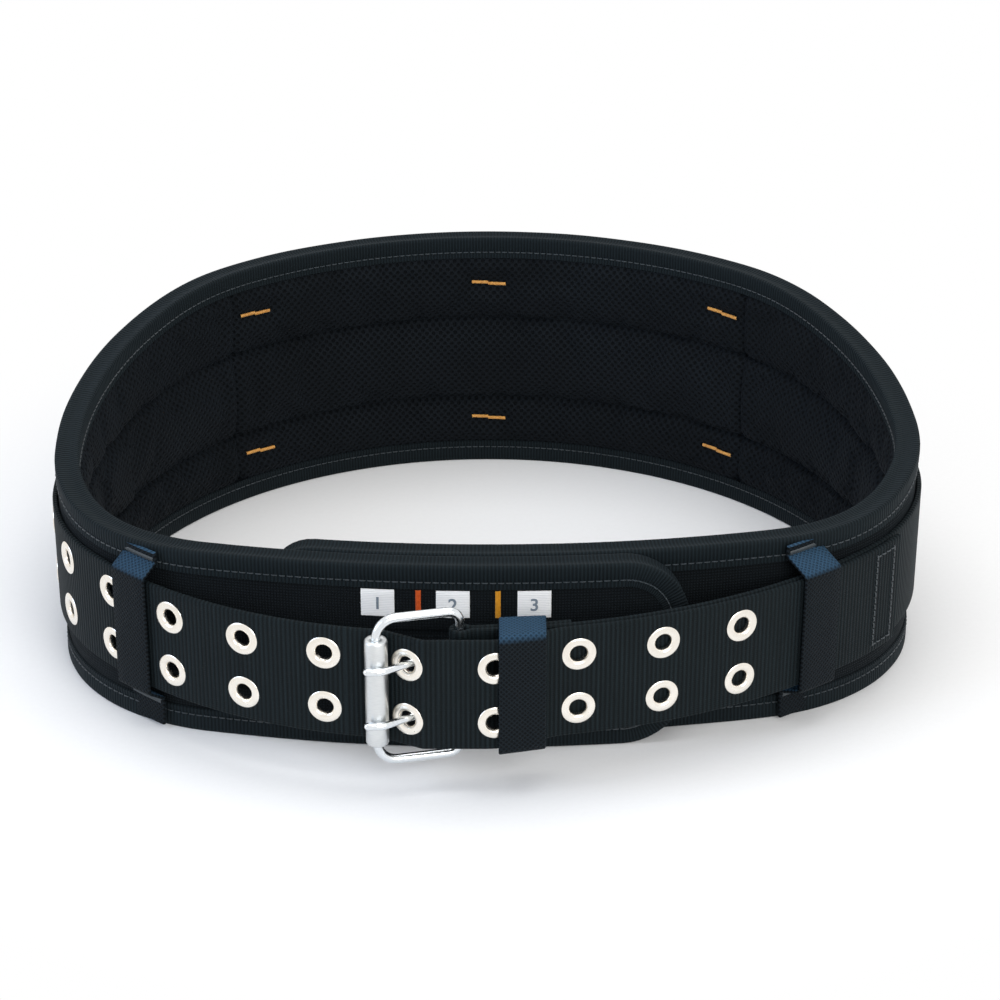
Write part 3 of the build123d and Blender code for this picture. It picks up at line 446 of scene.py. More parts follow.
# ---- mesh lining ---------------------------------------------------------------------------------
# The face against the wearer: knitted air mesh over the same foam, in the same three panels, pulled
# in at the two long channel seams and where the panels are joined.
# Air mesh: black knit with rows of small diamond holes 2.7 mm apart, soft and matt, with a low sheen.
air_mesh, tree, shader = new_material("knitted_air_mesh", Roughness=0.75, Sheen_Weight=0.03,
                                      Sheen_Roughness=0.4, Sheen_Tint=colour("#8fa3b8"),
                                      Specular_IOR_Level=0.07)
uv, along, up = flat_axes(tree)
turned = node(tree, "Mapping", {"Vector": uv, "Rotation": (0, 0, radians(45)),
                                "Scale": (1 / (2.7 * MM),) * 3})
cells = node(tree, "TexVoronoi", {"Vector": turned, "Scale": 1.0, "Randomness": 0.0},
             voronoi_dimensions="2D")
knit = node(tree, "MapRange", {"Value": cells, "From Min": 0.14, "From Max": 0.42})
cloud = node(tree, "TexNoise", {"Vector": uv, "Scale": 25.0, "Detail": 3.0})
yarn = node(tree, "Mix", {"Factor": cloud, 6: colour("#0c0f12"), 7: colour("#161b20")}, 2, data_type="RGBA")
tone = node(tree, "Mix", {"Factor": knit, 6: colour("#07090b"), 7: yarn}, 2, data_type="RGBA")
surface(tree, shader, tone, knit, 0.7)

for side in PANELS:
    lining = quilted_panel(f"lining_{side}", side, -1, -PAD_THICK, 2.6, 1.8, 0.6)
    lining.data.materials.append(air_mesh)
    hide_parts(f"mesh_lining_{side}")


# ---- binding tape --------------------------------------------------------------------------------
# Ribbed polyester tape folded over the pad's raw edge all the way round, down both flap ends, and
# sewn through with one row of stitches that shows on both faces.
STITCH_INSET, STITCH_SPACING = 7.6, 3.4
# The folded tape's section, from face to face, in (distance in from the edge, distance out):
TAPE_PROFILE = [(11.0, 0.1), (10.6, 0.75), (9.0, 0.62), (7.9, 0.4), (7.3, 0.4), (6.4, 0.8), (4.0, 0.95),
                (1.6, 0.95), (0.55, 0.75), (0.1, 0.2), (0.0, -0.5), (0.25, -1.6), (0.7, -3.2),
                (0.8, -4.5), (0.7, -5.8), (0.25, -7.4), (0.0, -8.5), (0.1, -9.2), (0.55, -9.75),
                (1.6, -9.95), (4.0, -9.95), (6.4, -9.8), (7.3, -9.4), (7.9, -9.4), (9.0, -9.62),
                (10.6, -9.75), (11.0, -9.1)]


def corner_points(s, z, radius, start, step):
    """A quarter turn of the pad's outline, each point with its inward direction."""
    turns = [radians(angle) for angle in evenly(start, start + 90.0, step)]
    return [(s + radius * cos(turn), z + radius * sin(turn), -cos(turn), -sin(turn)) for turn in turns]


def pad_outline(step):
    """Points round the flat pad's outline, each with its inward direction."""
    end, top = PAD_LENGTH - OUTER_CORNER, []
    for s in evenly(end, INNER_CORNER, step)[1:]:
        slope = (pad_height(s + 2) - pad_height(s - 2)) / 4
        top.append((s, pad_height(s), slope / hypot(1, slope), -1 / hypot(1, slope)))
    return ([(s, 0.0, 0.0, 1.0) for s in evenly(INNER_CORNER, end, step)]
            + corner_points(end, OUTER_CORNER, OUTER_CORNER, -90.0, 8.0)[1:]
            + corner_points(end, FRONT_HEIGHT - OUTER_CORNER, OUTER_CORNER, 0.0, 8.0) + top
            + corner_points(INNER_CORNER, FRONT_HEIGHT - INNER_CORNER, INNER_CORNER, 90.0, 10.0)[1:]
            + corner_points(INNER_CORNER, INNER_CORNER, INNER_CORNER, 180.0, 10.0))


def walk(points):
    """Distance along a line of points, at each of them."""
    walked = [0.0]
    for a, b in zip(points, points[1:]):
        walked.append(walked[-1] + hypot(b[0] - a[0], b[1] - a[1]))
    return walked


outline = pad_outline(4.0)
walked, across = walk(outline), walk(TAPE_PROFILE)
tape = sheet("binding_tape", list(range(len(outline))), list(range(len(TAPE_PROFILE))))
keys = [(round(v.co.x), round(v.co.y)) for v in tape.data.vertices]
for vertex, (i, j) in zip(tape.data.vertices, keys):
    vertex.co = (walked[i], across[j], 0)
keep_flat(tape)
for vertex, (i, j) in zip(tape.data.vertices, keys):
    s, z, inward_s, inward_z = outline[i]
    inset, out = TAPE_PROFILE[j]
    wave = 0.35 * noise.noise(Vector((walked[i] / 30.0, 0, 5.0))) * (out > -PAD_THICK / 2)
    vertex.co = stand(PAD_PATH, s + inward_s * inset, z + inward_z * inset, out + wave)
tape.data.update()
outward(tape, merge=0.2 * MM)
apply(tape, "SOLIDIFY", thickness=0.5 * MM, offset=-1.0)
smooth(tape, 60)

# Grosgrain tape: cross ribs every 1.6 mm and a smooth woven edge, a little shinier than the cover.
tape_cloth, tree, shader = new_material("ribbed_binding_tape", Roughness=0.7, Sheen_Weight=0.04,
                                        Sheen_Roughness=0.4, Sheen_Tint=colour("#a9bcc9"),
                                        Specular_IOR_Level=0.07)
uv, along, up = flat_axes(tree)
ribs = ripple(tree, along, 1.6)
cloud = node(tree, "TexNoise", {"Vector": uv, "Scale": 60.0, "Detail": 4.0})
tone = node(tree, "Mix", {"Factor": cloud, 6: colour("#0a0e10"), 7: colour("#13191c")}, 2, data_type="RGBA")
tone = node(tree, "Mix", {"Factor": ribs, 6: tone, 7: colour("#1a2226")}, 2, data_type="RGBA")
surface(tree, shader, tone, ribs, 0.3)
tape.data.materials.append(tape_cloth)
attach(tape, "belt")
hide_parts("binding_top", "binding_bottom", "binding_left_end", "binding_right_end")


def stitches(name, places, length, radius, rise=0.6):
    """Many like stitches in one mesh. Each place is (middle, along, out) in metres, with unit vectors."""
    verts, faces = [], []
    sides = 6
    rings = ((0.0, -0.7), (0.12, 0.35), (0.5, rise), (0.88, 0.35), (1.0, -0.7))
    for middle, ahead, out in places:
        side = ahead.cross(out)
        first = len(verts)
        for share, lift in rings:
            centre = middle + ahead * ((share - 0.5) * length * MM) + out * (lift * radius * MM)
            for k in range(sides):
                turn = 2 * pi * k / sides
                verts.append(centre + (side * cos(turn) + out * sin(turn)) * (radius * MM))
        for ring in range(len(rings) - 1):
            for k in range(sides):
                a, b = first + ring * sides + k, first + ring * sides + (k + 1) % sides
                faces.append((a, b, b + sides, a + sides))
        faces.append(tuple(first + k for k in reversed(range(sides))))
        faces.append(tuple(first + (len(rings) - 1) * sides + k for k in range(sides)))
    mesh = bpy.data.meshes.new(name)
    mesh.from_pydata(verts, [], faces)
    piece = bpy.data.objects.new(name, mesh)
    bpy.context.scene.collection.objects.link(piece)
    outward(piece, merge=0)
    smooth(piece, 50)
    return piece


def facing(heading):
    """Unit vectors along a path with this heading and out from it."""
    turn = radians(heading)
    return Vector((cos(turn), sin(turn), 0)), Vector((sin(turn), -cos(turn), 0))


def frame_at(path, s, height, out, run=(1.0, 0.0)):
    """Middle, along and out vectors on a path's face, for a stitch that runs (along, up)."""
    ahead, outwards = facing(at_length(path, s)[1])
    direction_of_run = (ahead * run[0] + Vector((0, 0, 1)) * run[1]).normalized()
    return stand(path, s, height, out), direction_of_run, outwards


tape_stitches = []
travel = STITCH_SPACING
for a, b, start in zip(outline, outline[1:], walked):
    step = hypot(b[0] - a[0], b[1] - a[1])
    while travel <= start + step:
        share = (travel - start) / step
        s, z, ns, nz = (a[k] + (b[k] - a[k]) * share for k in range(4))
        for out, face in ((0.62, 1), (-PAD_THICK - 0.62, -1)):
            middle, run, outwards = frame_at(PAD_PATH, s + ns * STITCH_INSET, z + nz * STITCH_INSET,
                                             out, (-nz, ns))
            tape_stitches.append((middle, run * face, outwards * face))
        travel += STITCH_SPACING
edge_row = stitches("binding_stitches", tape_stitches, 2.6, 0.28)


def mottled(name, dark, light, scale, detail, depth_mm=0.0, roughness=None, **values):
    """A material that wanders between two tones in patches of about one metre over the scale, which
    may differ by axis. Its height and roughness wander with them where they are given."""
    made, tree, shader = new_material(name, **values)
    place = node(tree, "TexCoord", output="Object")
    if isinstance(scale, tuple):
        place, scale = node(tree, "Mapping", {"Vector": place, "Scale": scale}), 1.0
    patches = node(tree, "TexNoise", {"Vector": place, "Scale": scale, "Detail": detail})
    tone = node(tree, "Mix", {"Factor": patches, 6: colour(dark), 7: colour(light)}, 2, data_type="RGBA")
    surface(tree, shader, tone, patches, depth_mm)
    if roughness:
        varied = node(tree, "MapRange", {"Value": patches, "To Min": roughness[0], "To Max": roughness[1]})
        tree.links.new(varied, shader.inputs["Roughness"])
    return made


# Bonded nylon thread, dark: a small round gloss along each stitch.
dark_thread = mottled("dark_bonded_thread", "#1e2529", "#384147", 300.0, 2.0, Roughness=0.45,
                      Sheen_Weight=0.1)
edge_row.data.materials.append(dark_thread)
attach(edge_row, "belt")


# ---- hook and loop closure -----------------------------------------------------------------------
# Two woven patches, hooks on the inner flap and a brushed pile on the outer one, sewn on flat. They
# hold the two flaps together in front and show only at the flaps' ends and edges.
# Brushed nylon pile: dull black fuzz with no clear grain.
pile = mottled("brushed_nylon_pile", "#08090b", "#1c2126", 900.0, 3.0, 0.6, Roughness=0.9,
               Sheen_Weight=0.4, Sheen_Roughness=0.6)
PATCH_HALF_LENGTH, PATCH_MARGIN = 50.0, 14.0

for name, radius in (("hook_patch", inner_radius), ("loop_patch", flap_radius - PAD_THICK - 1.1)):
    patch = sheet(name, evenly(-PATCH_HALF_LENGTH, PATCH_HALF_LENGTH, 2.0),
                  evenly(PATCH_MARGIN, FRONT_HEIGHT - PATCH_MARGIN, 3.0))
    apply(patch, "SOLIDIFY", thickness=1.0, offset=1.0)
    move_points(patch, lambda x, z, d: Vector((
        (radius + d + 0.05) * sin(x / flap_radius) * MM + shift_x,
        (flap_centre[1] - (radius + d + 0.05) * cos(x / flap_radius)) * MM + shift_y, z * MM)))
    outward(patch)
    smooth(patch)
    patch.data.materials.append(pile)
    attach(patch, "belt")
    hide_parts(name)


# ---- size labels and marks -----------------------------------------------------------------------
# Three small printed satin labels under the outer flap's binding, sewn down at their edges, with two
LABEL_X, LABEL_LOW, LABEL_HIGH, LABEL_HALF = (-46.5, -15.0, 19.0), 63.0, 75.5, 7.0
MARK_X, MARK_STEP, DIGIT_HEIGHT = {"orange": -29.5, "amber": 3.8}, 0.42, 8.0
FRONT_S = PAD_LENGTH - OUTER_REACH


def on_flap(x, z, out):
    return stand(PAD_PATH, FRONT_S + x, z, out)


# Satin label: white, a fine weave and a soft gloss.
satin, tree, shader = new_material("white_satin_label", Roughness=0.55, Sheen_Weight=0.1)
threads = ripple(tree, flat_axes(tree)[2], 0.8)
tone = node(tree, "Mix", {"Factor": threads, 6: colour("#eef0f1"), 7: colour("#ffffff")}, 2,
            data_type="RGBA")
surface(tree, shader, tone, threads, 0.08)
# Printing ink: soft grey-blue, soaked unevenly into the satin.
ink = mottled("label_printing_ink", "#5f6c78", "#8b98a3", 900.0, 2.0, Roughness=0.6)

digits = []
for number, x in enumerate(LABEL_X, start=1):
    label = sheet(f"size_label_{number}", evenly(x - LABEL_HALF, x + LABEL_HALF, 1.0),
                  evenly(LABEL_LOW, LABEL_HIGH, 1.0))
    keep_flat(label)
    for vertex in label.data.vertices:
        px, pz, _ = vertex.co
        edge = min(px - x + LABEL_HALF, x + LABEL_HALF - px, pz - LABEL_LOW, LABEL_HIGH - pz)
        puffed = 0.22 * min(1.0, edge / 1.2) + 0.08 * noise.noise(Vector((px / 3, pz / 3, 1)))
        vertex.co.z = 0.12 + puffed
    apply(label, "SOLIDIFY", thickness=0.25, offset=1.0)
    move_points(label, lambda px, pz, d: on_flap(px, pz, d + 0.1))
    outward(label)
    smooth(label, 60)
    label.data.materials.append(satin)
    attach(label, "belt")
    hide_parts(f"size_label_{number}")
    deselect()
    bpy.ops.object.text_add()
    digit = bpy.context.object
    digit.data.body = str(number)
    digit.data.size, digit.data.align_x, digit.data.align_y = DIGIT_HEIGHT, "CENTER", "CENTER"
    digit.data.extrude, digit.data.offset = 0.05, 0.12
    bpy.ops.object.convert(target="MESH")
    digit = bpy.context.object
    digit.name = f"size_digit_{number}"
    middle = (LABEL_LOW + LABEL_HIGH) / 2 - 0.4
    move_points(digit, lambda px, pz, d: on_flap(x + px, middle + pz, 0.82 + d))
    outward(digit)
    digits.append(digit)
for digit in digits:
    digit.data.materials.append(ink)
    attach(digit, "belt")
    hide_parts("size_digits")

# Polyester embroidery thread: saturated, with a bright line where each stitch turns to the light.
THREADS = {"orange": ("#b03a08", "#e2661f"), "amber": ("#b47405", "#e9a428"),
           "yellow": ("#a8620f", "#f0b85e")}
threads_of = {name: mottled(f"{name}_polyester_thread", dark, light, 700.0, 2.0, Roughness=0.4,
                            Sheen_Weight=0.15) for name, (dark, light) in THREADS.items()}

for number, (name, x) in enumerate(MARK_X.items(), start=1):
    places = [frame_at(PAD_PATH, FRONT_S + x, z, 0.30, (1.0, 0.05))
              for z in evenly(LABEL_LOW + 0.2, LABEL_HIGH - 0.2, MARK_STEP)]
    mark = stitches(f"size_mark_{number}", places, 2.3, 0.26, 1.0)
    mark.data.materials.append(threads_of[name])
    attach(mark, "belt")
    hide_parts(f"size_mark_{number}")


# ---- bar tacks -----------------------------------------------------------------------------------
# The back loops' feet are held through the whole pad by dense zigzag bar tacks in bright thread, which
# show as short bars on the lining.
TACK_HALF = 8.75
tack_places = []
for tack_s, tack_z in TACKS:
    for step in evenly(-TACK_HALF, TACK_HALF, MARK_STEP):
        jog = 0.3 if step > 0 else -0.3
        middle, run, outwards = frame_at(PAD_PATH, tack_s + step, tack_z + jog + step * 0.03,
                                         -PAD_THICK - 0.15, (0.12, 1.0))
        tack_places.append((middle, run, -outwards))
tacks = stitches("bar_tacks", tack_places, 1.5, 0.27, 1.1)
tacks.data.materials.append(threads_of["yellow"])
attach(tacks, "belt")
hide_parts("bar_tacks")


# ---- main strap ----------------------------------------------------------------------------------
# One length of two-inch ribbed polyester webbing. It folds round the buckle's heel bar, lies on the pad
# right round the waist and comes back to the buckle with its row of paired grommets.
WEB_THICK, WEB_WIDTH, OFF_PAD, LAYER_GAP = 2.3, 50.8, 0.7, 0.7
HALF_WEB = WEB_THICK / 2
HEEL = (-11.9, -176.5)
ROLLER_RADIUS, PLAY = 4.8, 0.35
WRAP = ROLLER_RADIUS + PLAY + HALF_WEB
GROMMET_HOLE = 4.25
PITCH, ROW = 36.5, WEB_WIDTH / 4


def bend_radius(point, heading, centre, side):
    off = (point[0] - centre[0], point[1] - centre[1])
    toward = -off[0] * sin(radians(heading)) + off[1] * cos(radians(heading))
    return (side ** 2 - off[0] ** 2 - off[1] ** 2) / (2 * (toward + side))


def beyond_heel(ahead, across):
    slope = radians(5.0)
    return (HEEL[0] + ahead * cos(slope) - across * sin(slope),
            HEEL[1] + ahead * sin(slope) + across * cos(slope))


strap_side, strap_back = SIDE_RADIUS + OFF_PAD + HALF_WEB, back_radius + OFF_PAD + HALF_WEB
end_side, end_level, apart = strap_side + WEB_THICK + LAYER_GAP, ROLLER[1] - 2.9, HALF_WEB + 0.05
lower_bend = beyond_heel(19.9, -apart)
lower_radius = bend_radius(lower_bend, 5.0, right_centre, strap_side)
lower_centre = polar(lower_bend, lower_radius, 95.0)
lower_turn = direction(lower_centre, right_centre)
left_start = polar(ROLLER, WRAP, 81.0)
left_bend = (left_start[0] - 7.1 * cos(radians(9)), left_start[1] + 7.1 * sin(radians(9)))
left_radius = bend_radius((-left_bend[0], left_bend[1]), 9.0, (-left_centre[0], left_centre[1]), strap_side)
left_bend_centre = polar(left_bend, left_radius, 81.0)
left_turn = direction(left_bend_centre, left_centre) % 360
fold_radius, close_radius = 2.15 + HALF_WEB, 8.0
close_ahead = sqrt((fold_radius + close_radius) ** 2 - (apart + close_radius) ** 2)
close_angle = degrees(atan2(apart + close_radius, close_ahead))
span_left_angle = 261.0 - degrees(7.0 / left_radius)
STRAP_PATH = [
    arc(lower_centre, lower_radius - 2 * apart, -85.0 + degrees(26.1 / (lower_radius - 2 * apart)), -85.0),
    line(beyond_heel(19.9, apart), beyond_heel(close_ahead, apart)),
    arc(beyond_heel(close_ahead, apart + close_radius), close_radius, -85.0, -175.0 + close_angle),
    arc(HEEL, fold_radius, 5.0 + close_angle, 365.0 - close_angle),
    arc(beyond_heel(close_ahead, -apart - close_radius), close_radius, 185.0 - close_angle, 95.0),
    line(beyond_heel(close_ahead, -apart), lower_bend),
    arc(lower_centre, lower_radius, -85.0, lower_turn),
    arc(right_centre, strap_side, lower_turn, right_back),
    arc(back_centre, strap_back, right_back, left_back),
    arc(left_centre, strap_side, left_back, left_turn),
    arc(left_bend_centre, left_radius, left_turn, span_left_angle)]
dive_start = polar(ROLLER, WRAP, 62.0)
dive_length = (dive_start[1] - end_level - 3.3 * (1 - cos(radians(28)))) / sin(radians(28))
dive_end = (dive_start[0] + dive_length * cos(radians(28)), dive_start[1] - dive_length * sin(radians(28)))
crest = (dive_end[0] + 3.3 * sin(radians(28)), end_level + 3.3)
SPAN_PATH = [
    arc(left_bend_centre, left_radius, span_left_angle, 261.0),
    line(left_bend, left_start),
    arc(ROLLER, WRAP, 81.0, 62.0),
    line(dive_start, dive_end),
    arc(crest, 3.3, 242.0, 270.0),
    line((crest[0], end_level), (crest[0] + 5.2, end_level))]
BUCKLE_PAIR = path_length(SPAN_PATH[:3]) + dive_length * 0.65
first_close = (HEEL[0] + 9.9, end_level + 40.0)
end_radius = lower_radius + WEB_THICK + LAYER_GAP
gap = hypot(lower_centre[0] - first_close[0], lower_centre[1] - first_close[1])
turn = degrees(acos((gap ** 2 + 80.0 ** 2 - (end_radius + 40.0) ** 2) / (2 * gap * 80.0)))
first_angle = direction(first_close, lower_centre) - turn
second_close = polar(first_close, 80.0, first_angle)
second_angle = direction(second_close, lower_centre)
END_PATH = [
    line((crest[0] + 5.2, end_level), (first_close[0], end_level)),
    arc(first_close, 40.0, -90.0, first_angle),
    arc(second_close, 40.0, first_angle + 180, second_angle),
    arc(lower_centre, end_radius, second_angle - 180, lower_turn),
    arc(right_centre, end_side, lower_turn, right_back)]
END_LENGTH = BUCKLE_PAIR + 4 * PITCH + 93.5 - path_length(SPAN_PATH)


def strap_height(y):
    return STRAP_Z + (STRAP_BACK_Z - STRAP_Z) * (pad_top(y) - FRONT_HEIGHT) / (BACK_HEIGHT - FRONT_HEIGHT)


def stations(path, start, end, step=3.0):
    """Distances along a path, closer together where it bends tightly."""
    found, base = [start], 0.0
    for part in path:
        length = piece_length(part)
        fine = min(step, part[2] * 0.14) if part[0] == "arc" else step
        a, b = max(start, base), min(end, base + length)
        if b - a > 0.01:
            found += evenly(a, b, fine)[1:]
        base += length
    if end > found[-1] + 0.01:
        found += evenly(found[-1], end, step)[1:]
    return found


def flat_ring(half_width, half_thick, count):
    """Section of a length of webbing: (across, out) round it, with soft selvedges."""
    across = [half_width * (-1 + 2 * k / count) for k in range(count + 1)]
    across[0], across[-1] = -half_width + 0.7, half_width - 0.7
    front = [(a, half_thick) for a in across]
    edge = [(half_width - 0.2, half_thick * 0.7), (half_width, 0.0), (half_width - 0.2, -half_thick * 0.7)]
    back = [(a, -half_thick) for a in reversed(across)]
    other = [(-out, -up) for out, up in edge]
    return front + edge + back + other + [front[0]]


def skinned(name, columns, rows, flat, place, join_columns=False):
    """A closed skin: a grid laid flat for its weave, then placed, joined along its rows and capped."""
    piece = sheet(name, list(range(columns)), list(range(rows)))
    keys = [(round(v.co.x), round(v.co.y)) for v in piece.data.vertices]
    for vertex, key in zip(piece.data.vertices, keys):
        vertex.co = (*flat(*key), 0)
    keep_flat(piece)
    for vertex, key in zip(piece.data.vertices, keys):
        vertex.co = place(*key)
    piece.data.update()
    choose(piece)
    bpy.ops.object.mode_set(mode="EDIT")
    bpy.ops.mesh.select_all(action="SELECT")
    bpy.ops.mesh.remove_doubles(threshold=0.000004)
    if not join_columns:
        bpy.ops.mesh.select_all(action="DESELECT")
        bpy.ops.mesh.select_mode(type="EDGE")
        bpy.ops.mesh.select_non_manifold(extend=False, use_wire=False, use_boundary=True,
                                         use_multi_face=False, use_non_contiguous=False,
                                         use_verts=False)
        bpy.ops.mesh.edge_face_add()
    bpy.ops.mesh.select_all(action="SELECT")
    bpy.ops.mesh.normals_make_consistent(inside=False)
    bpy.ops.mesh.select_mode(type="VERT")
    bpy.ops.object.mode_set(mode="OBJECT")
    return piece


def webbing(name, path, start, end, step=3.0):
    """A length of the two-inch webbing laid along a path."""
    columns, ring = stations(path, start, end, step), flat_ring(WEB_WIDTH / 2, HALF_WEB, 16)
    turned = walk(ring)

    def place(i, j):
        s, (across, out) = columns[i], ring[j]
        return stand(path, s, strap_height(at_length(path, s)[0][1]) + across, out)

    return skinned(name, len(columns), len(ring), lambda i, j: (columns[i], turned[j]), place)


def cut(piece, cutters):
    """Cut these shapes out of the piece."""
    choose(*cutters)
    bpy.ops.object.join()
    cutter = bpy.context.object
    apply(piece, "BOOLEAN", object=cutter, operation="DIFFERENCE", solver="EXACT")
    bpy.data.objects.remove(cutter)


def laid(middle, run, outwards):
    """The move that lays a part, modelled flat at the origin, on the webbing's face."""
    return Matrix.Translation(middle) @ Matrix((run, outwards.cross(run), outwards)).transposed().to_4x4()


def pierced(piece, places):
    """Punch a round grommet hole through the webbing at each place."""
    cutters = []
    for place in places:
        deselect()
        bpy.ops.mesh.primitive_cylinder_add(vertices=24, radius=GROMMET_HOLE * MM, depth=12.0 * MM)
        cutters.append(bpy.context.object)
        cutters[-1].data.transform(laid(*place))
    cut(piece, cutters)


def pair_places(path, distances, out=0.0):
    found = []
    for s in distances:
        y = at_length(path, s)[0][1]
        found += [frame_at(path, s, strap_height(y) + row * ROW, out) for row in (1, -1)]
    return found


STRAP_LENGTH = path_length(STRAP_PATH)
LEFT_PAIRS = [STRAP_LENGTH - (pair * PITCH - BUCKLE_PAIR) for pair in range(1, 7)]
FREE_PAIRS = [pair * PITCH - (path_length(SPAN_PATH) - BUCKLE_PAIR) for pair in range(1, 5)]

# Two-inch polyester webbing: slate black, upright ribs about 2 mm apart with cross threads between, a
# paler smooth selvedge at each edge, worn a little grey on the ribs.
webbing_cloth, tree, shader = new_material("ribbed_polyester_webbing", Roughness=0.62, Sheen_Weight=0.03,
                                           Sheen_Roughness=0.4, Sheen_Tint=colour("#b4c8d6"),
                                           Specular_IOR_Level=0.07)
uv, along, up = flat_axes(tree)
ribs = ripple(tree, along, 2.0)
upright = node(tree, "Math", {0: ribs, 1: 0.75}, operation="MULTIPLY")
crosswise = node(tree, "Math", {0: ripple(tree, up, 1.0), 1: 0.25}, operation="MULTIPLY")
relief = node(tree, "Math", {0: upright, 1: crosswise}, operation="ADD")
cloud = node(tree, "TexNoise", {"Vector": uv, "Scale": 35.0, "Detail": 5.0})
drawn_out = node(tree, "Mapping", {"Vector": uv, "Scale": (900.0, 25.0, 1.0)})
streak = node(tree, "TexNoise", {"Vector": drawn_out, "Scale": 1.0, "Detail": 2.0})
wear = node(tree, "Math", {0: streak, 1: ribs}, operation="MULTIPLY")
tone = node(tree, "Mix", {"Factor": cloud, 6: colour("#080b0d"), 7: colour("#0f1517")}, 2, data_type="RGBA")
tone = node(tree, "Mix", {"Factor": wear, 6: tone, 7: colour("#1f292d")}, 2, data_type="RGBA")
surface(tree, shader, tone, relief, 0.32)

main_strap = webbing("main_strap", STRAP_PATH, 0.0, STRAP_LENGTH)
slots = []
for row in (1, -1):
    deselect()
    bpy.ops.mesh.primitive_cube_add(size=1)
    slots.append(bpy.context.object)
    slots[-1].data.transform(
        Matrix.Translation((HEEL[0] * MM + shift_x, HEEL[1] * MM + shift_y, (STRAP_Z + row * ROW) * MM))
        @ Matrix.Rotation(radians(5.0), 4, "Z")
        @ Matrix.Diagonal((2 * close_ahead * MM, 4 * fold_radius * MM, 6.0 * MM, 1)))
cut(main_strap, slots)
pierced(main_strap, pair_places(STRAP_PATH, LEFT_PAIRS))
smooth(main_strap, 40)
main_strap.data.materials.append(webbing_cloth)
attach(main_strap, "belt")
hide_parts("strap")


# ---- free end of the strap -----------------------------------------------------------------------
# The same webbing beyond the buckle, lying on the lower layer, with its tip folded under and stitched.
free_end = webbing("free_end", END_PATH, 0.0, END_LENGTH)
pierced(free_end, pair_places(END_PATH, FREE_PAIRS))
smooth(free_end, 40)
free_end.data.materials.append(webbing_cloth)
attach(free_end, "belt")
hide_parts("strap_free_end")


def box_stitching(name, path, ends, inset):
    """Two rows of stitches across the webbing, with a row near each of its edges between them."""
    places = []
    for s in ends:
        centre = strap_height(at_length(path, s)[0][1])
        places += [frame_at(path, s, centre + z, HALF_WEB + 0.12, (0.0, 1.0))
                   for z in evenly(-21.0, 21.0, 3.0)]
    for row in (21.5, -21.5):
        for s in evenly(min(ends) + inset, max(ends) - inset, 3.0):
            centre = strap_height(at_length(path, s)[0][1])
            places.append(frame_at(path, s, centre + row, HALF_WEB + 0.12))
    rows = stitches(name, places, 2.5, 0.32)
    rows.data.materials.append(dark_thread)
    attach(rows, "belt")
    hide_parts(name)


box_stitching("tip_stitching", END_PATH, (END_LENGTH - 5.0, END_LENGTH - 17.0), 1.0)
box_stitching("chape_stitching", STRAP_PATH, (6.0, 29.0), 1.5)


# ---- strap through the buckle --------------------------------------------------------------------
# The stretch of the same webbing that passes behind the roller and dives out over it, made as two lengths
# that meet at the roller.
span_end = path_length(SPAN_PATH)
meet = path_length(SPAN_PATH[:2]) + 1.0
left_span = webbing("span_left", SPAN_PATH, 0.0, meet, 1.0)
right_span = webbing("span_right", SPAN_PATH, meet, span_end, 1.0)
pierced(right_span, pair_places(SPAN_PATH, [BUCKLE_PAIR]))


def on_span(s):
    return stand(SPAN_PATH, s, STRAP_Z, 0.0)


for piece in (left_span, right_span):
    smooth(piece, 40)
    piece.data.materials.append(webbing_cloth)
on_span(1.0)
on_span(path_length(SPAN_PATH[:1]) + 3.0)
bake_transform(left_span)
on_span(span_end - 0.5)
on_span(path_length(SPAN_PATH[:4]) + 0.5)
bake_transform(right_span)
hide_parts("strap_span")
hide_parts("strap_span")


# ---- grommets ------------------------------------------------------------------------------------
# Two rows of nickel-plated brass eyelets, rolled over a thin washer on the strap's back.
def turned_part(name, profile, sides=36):
    """A ring or tube turned about Z from its (radius, height) profile, in mm."""
    count = len(profile)

    def place(i, j):
        radius, height = profile[j % count]
        angle = 2 * pi * (i % sides) / sides
        return radius * cos(angle) * MM, radius * sin(angle) * MM, height * MM

    piece = skinned(name, sides + 1, count + 1, lambda i, j: (i, j), place, join_columns=True)
    smooth(piece, 50)
    return piece


# Sections of the two rings, in (radius, height above the webbing's middle):
GROMMET = [(3.5, -1.1), (3.6, -1.33), (3.9, -1.35), (4.1, -1.3), (4.1, 0.85), (7.25, 0.85),
           (7.4, 0.95), (7.3, 1.15), (7.0, 1.32), (6.5, 1.46), (5.9, 1.54), (5.3, 1.55), (4.7, 1.48),
           (4.2, 1.3), (3.85, 1.0), (3.6, 0.6), (3.5, 0.1)]
WASHER_RING = [(4.15, -1.3), (4.15, -0.86), (6.6, -0.86), (6.8, -0.95), (6.8, -1.15), (6.5, -1.33),
               (5.5, -1.35)]

# Nickel plate on brass: bright and slightly warm, polished by tumbling, with faint handling marks.
nickel = mottled("bright_nickel_plate", "#e9e2d6", "#f7f2ea", 250.0, 6.0, 0.02, (0.14, 0.34), Metallic=1.0)

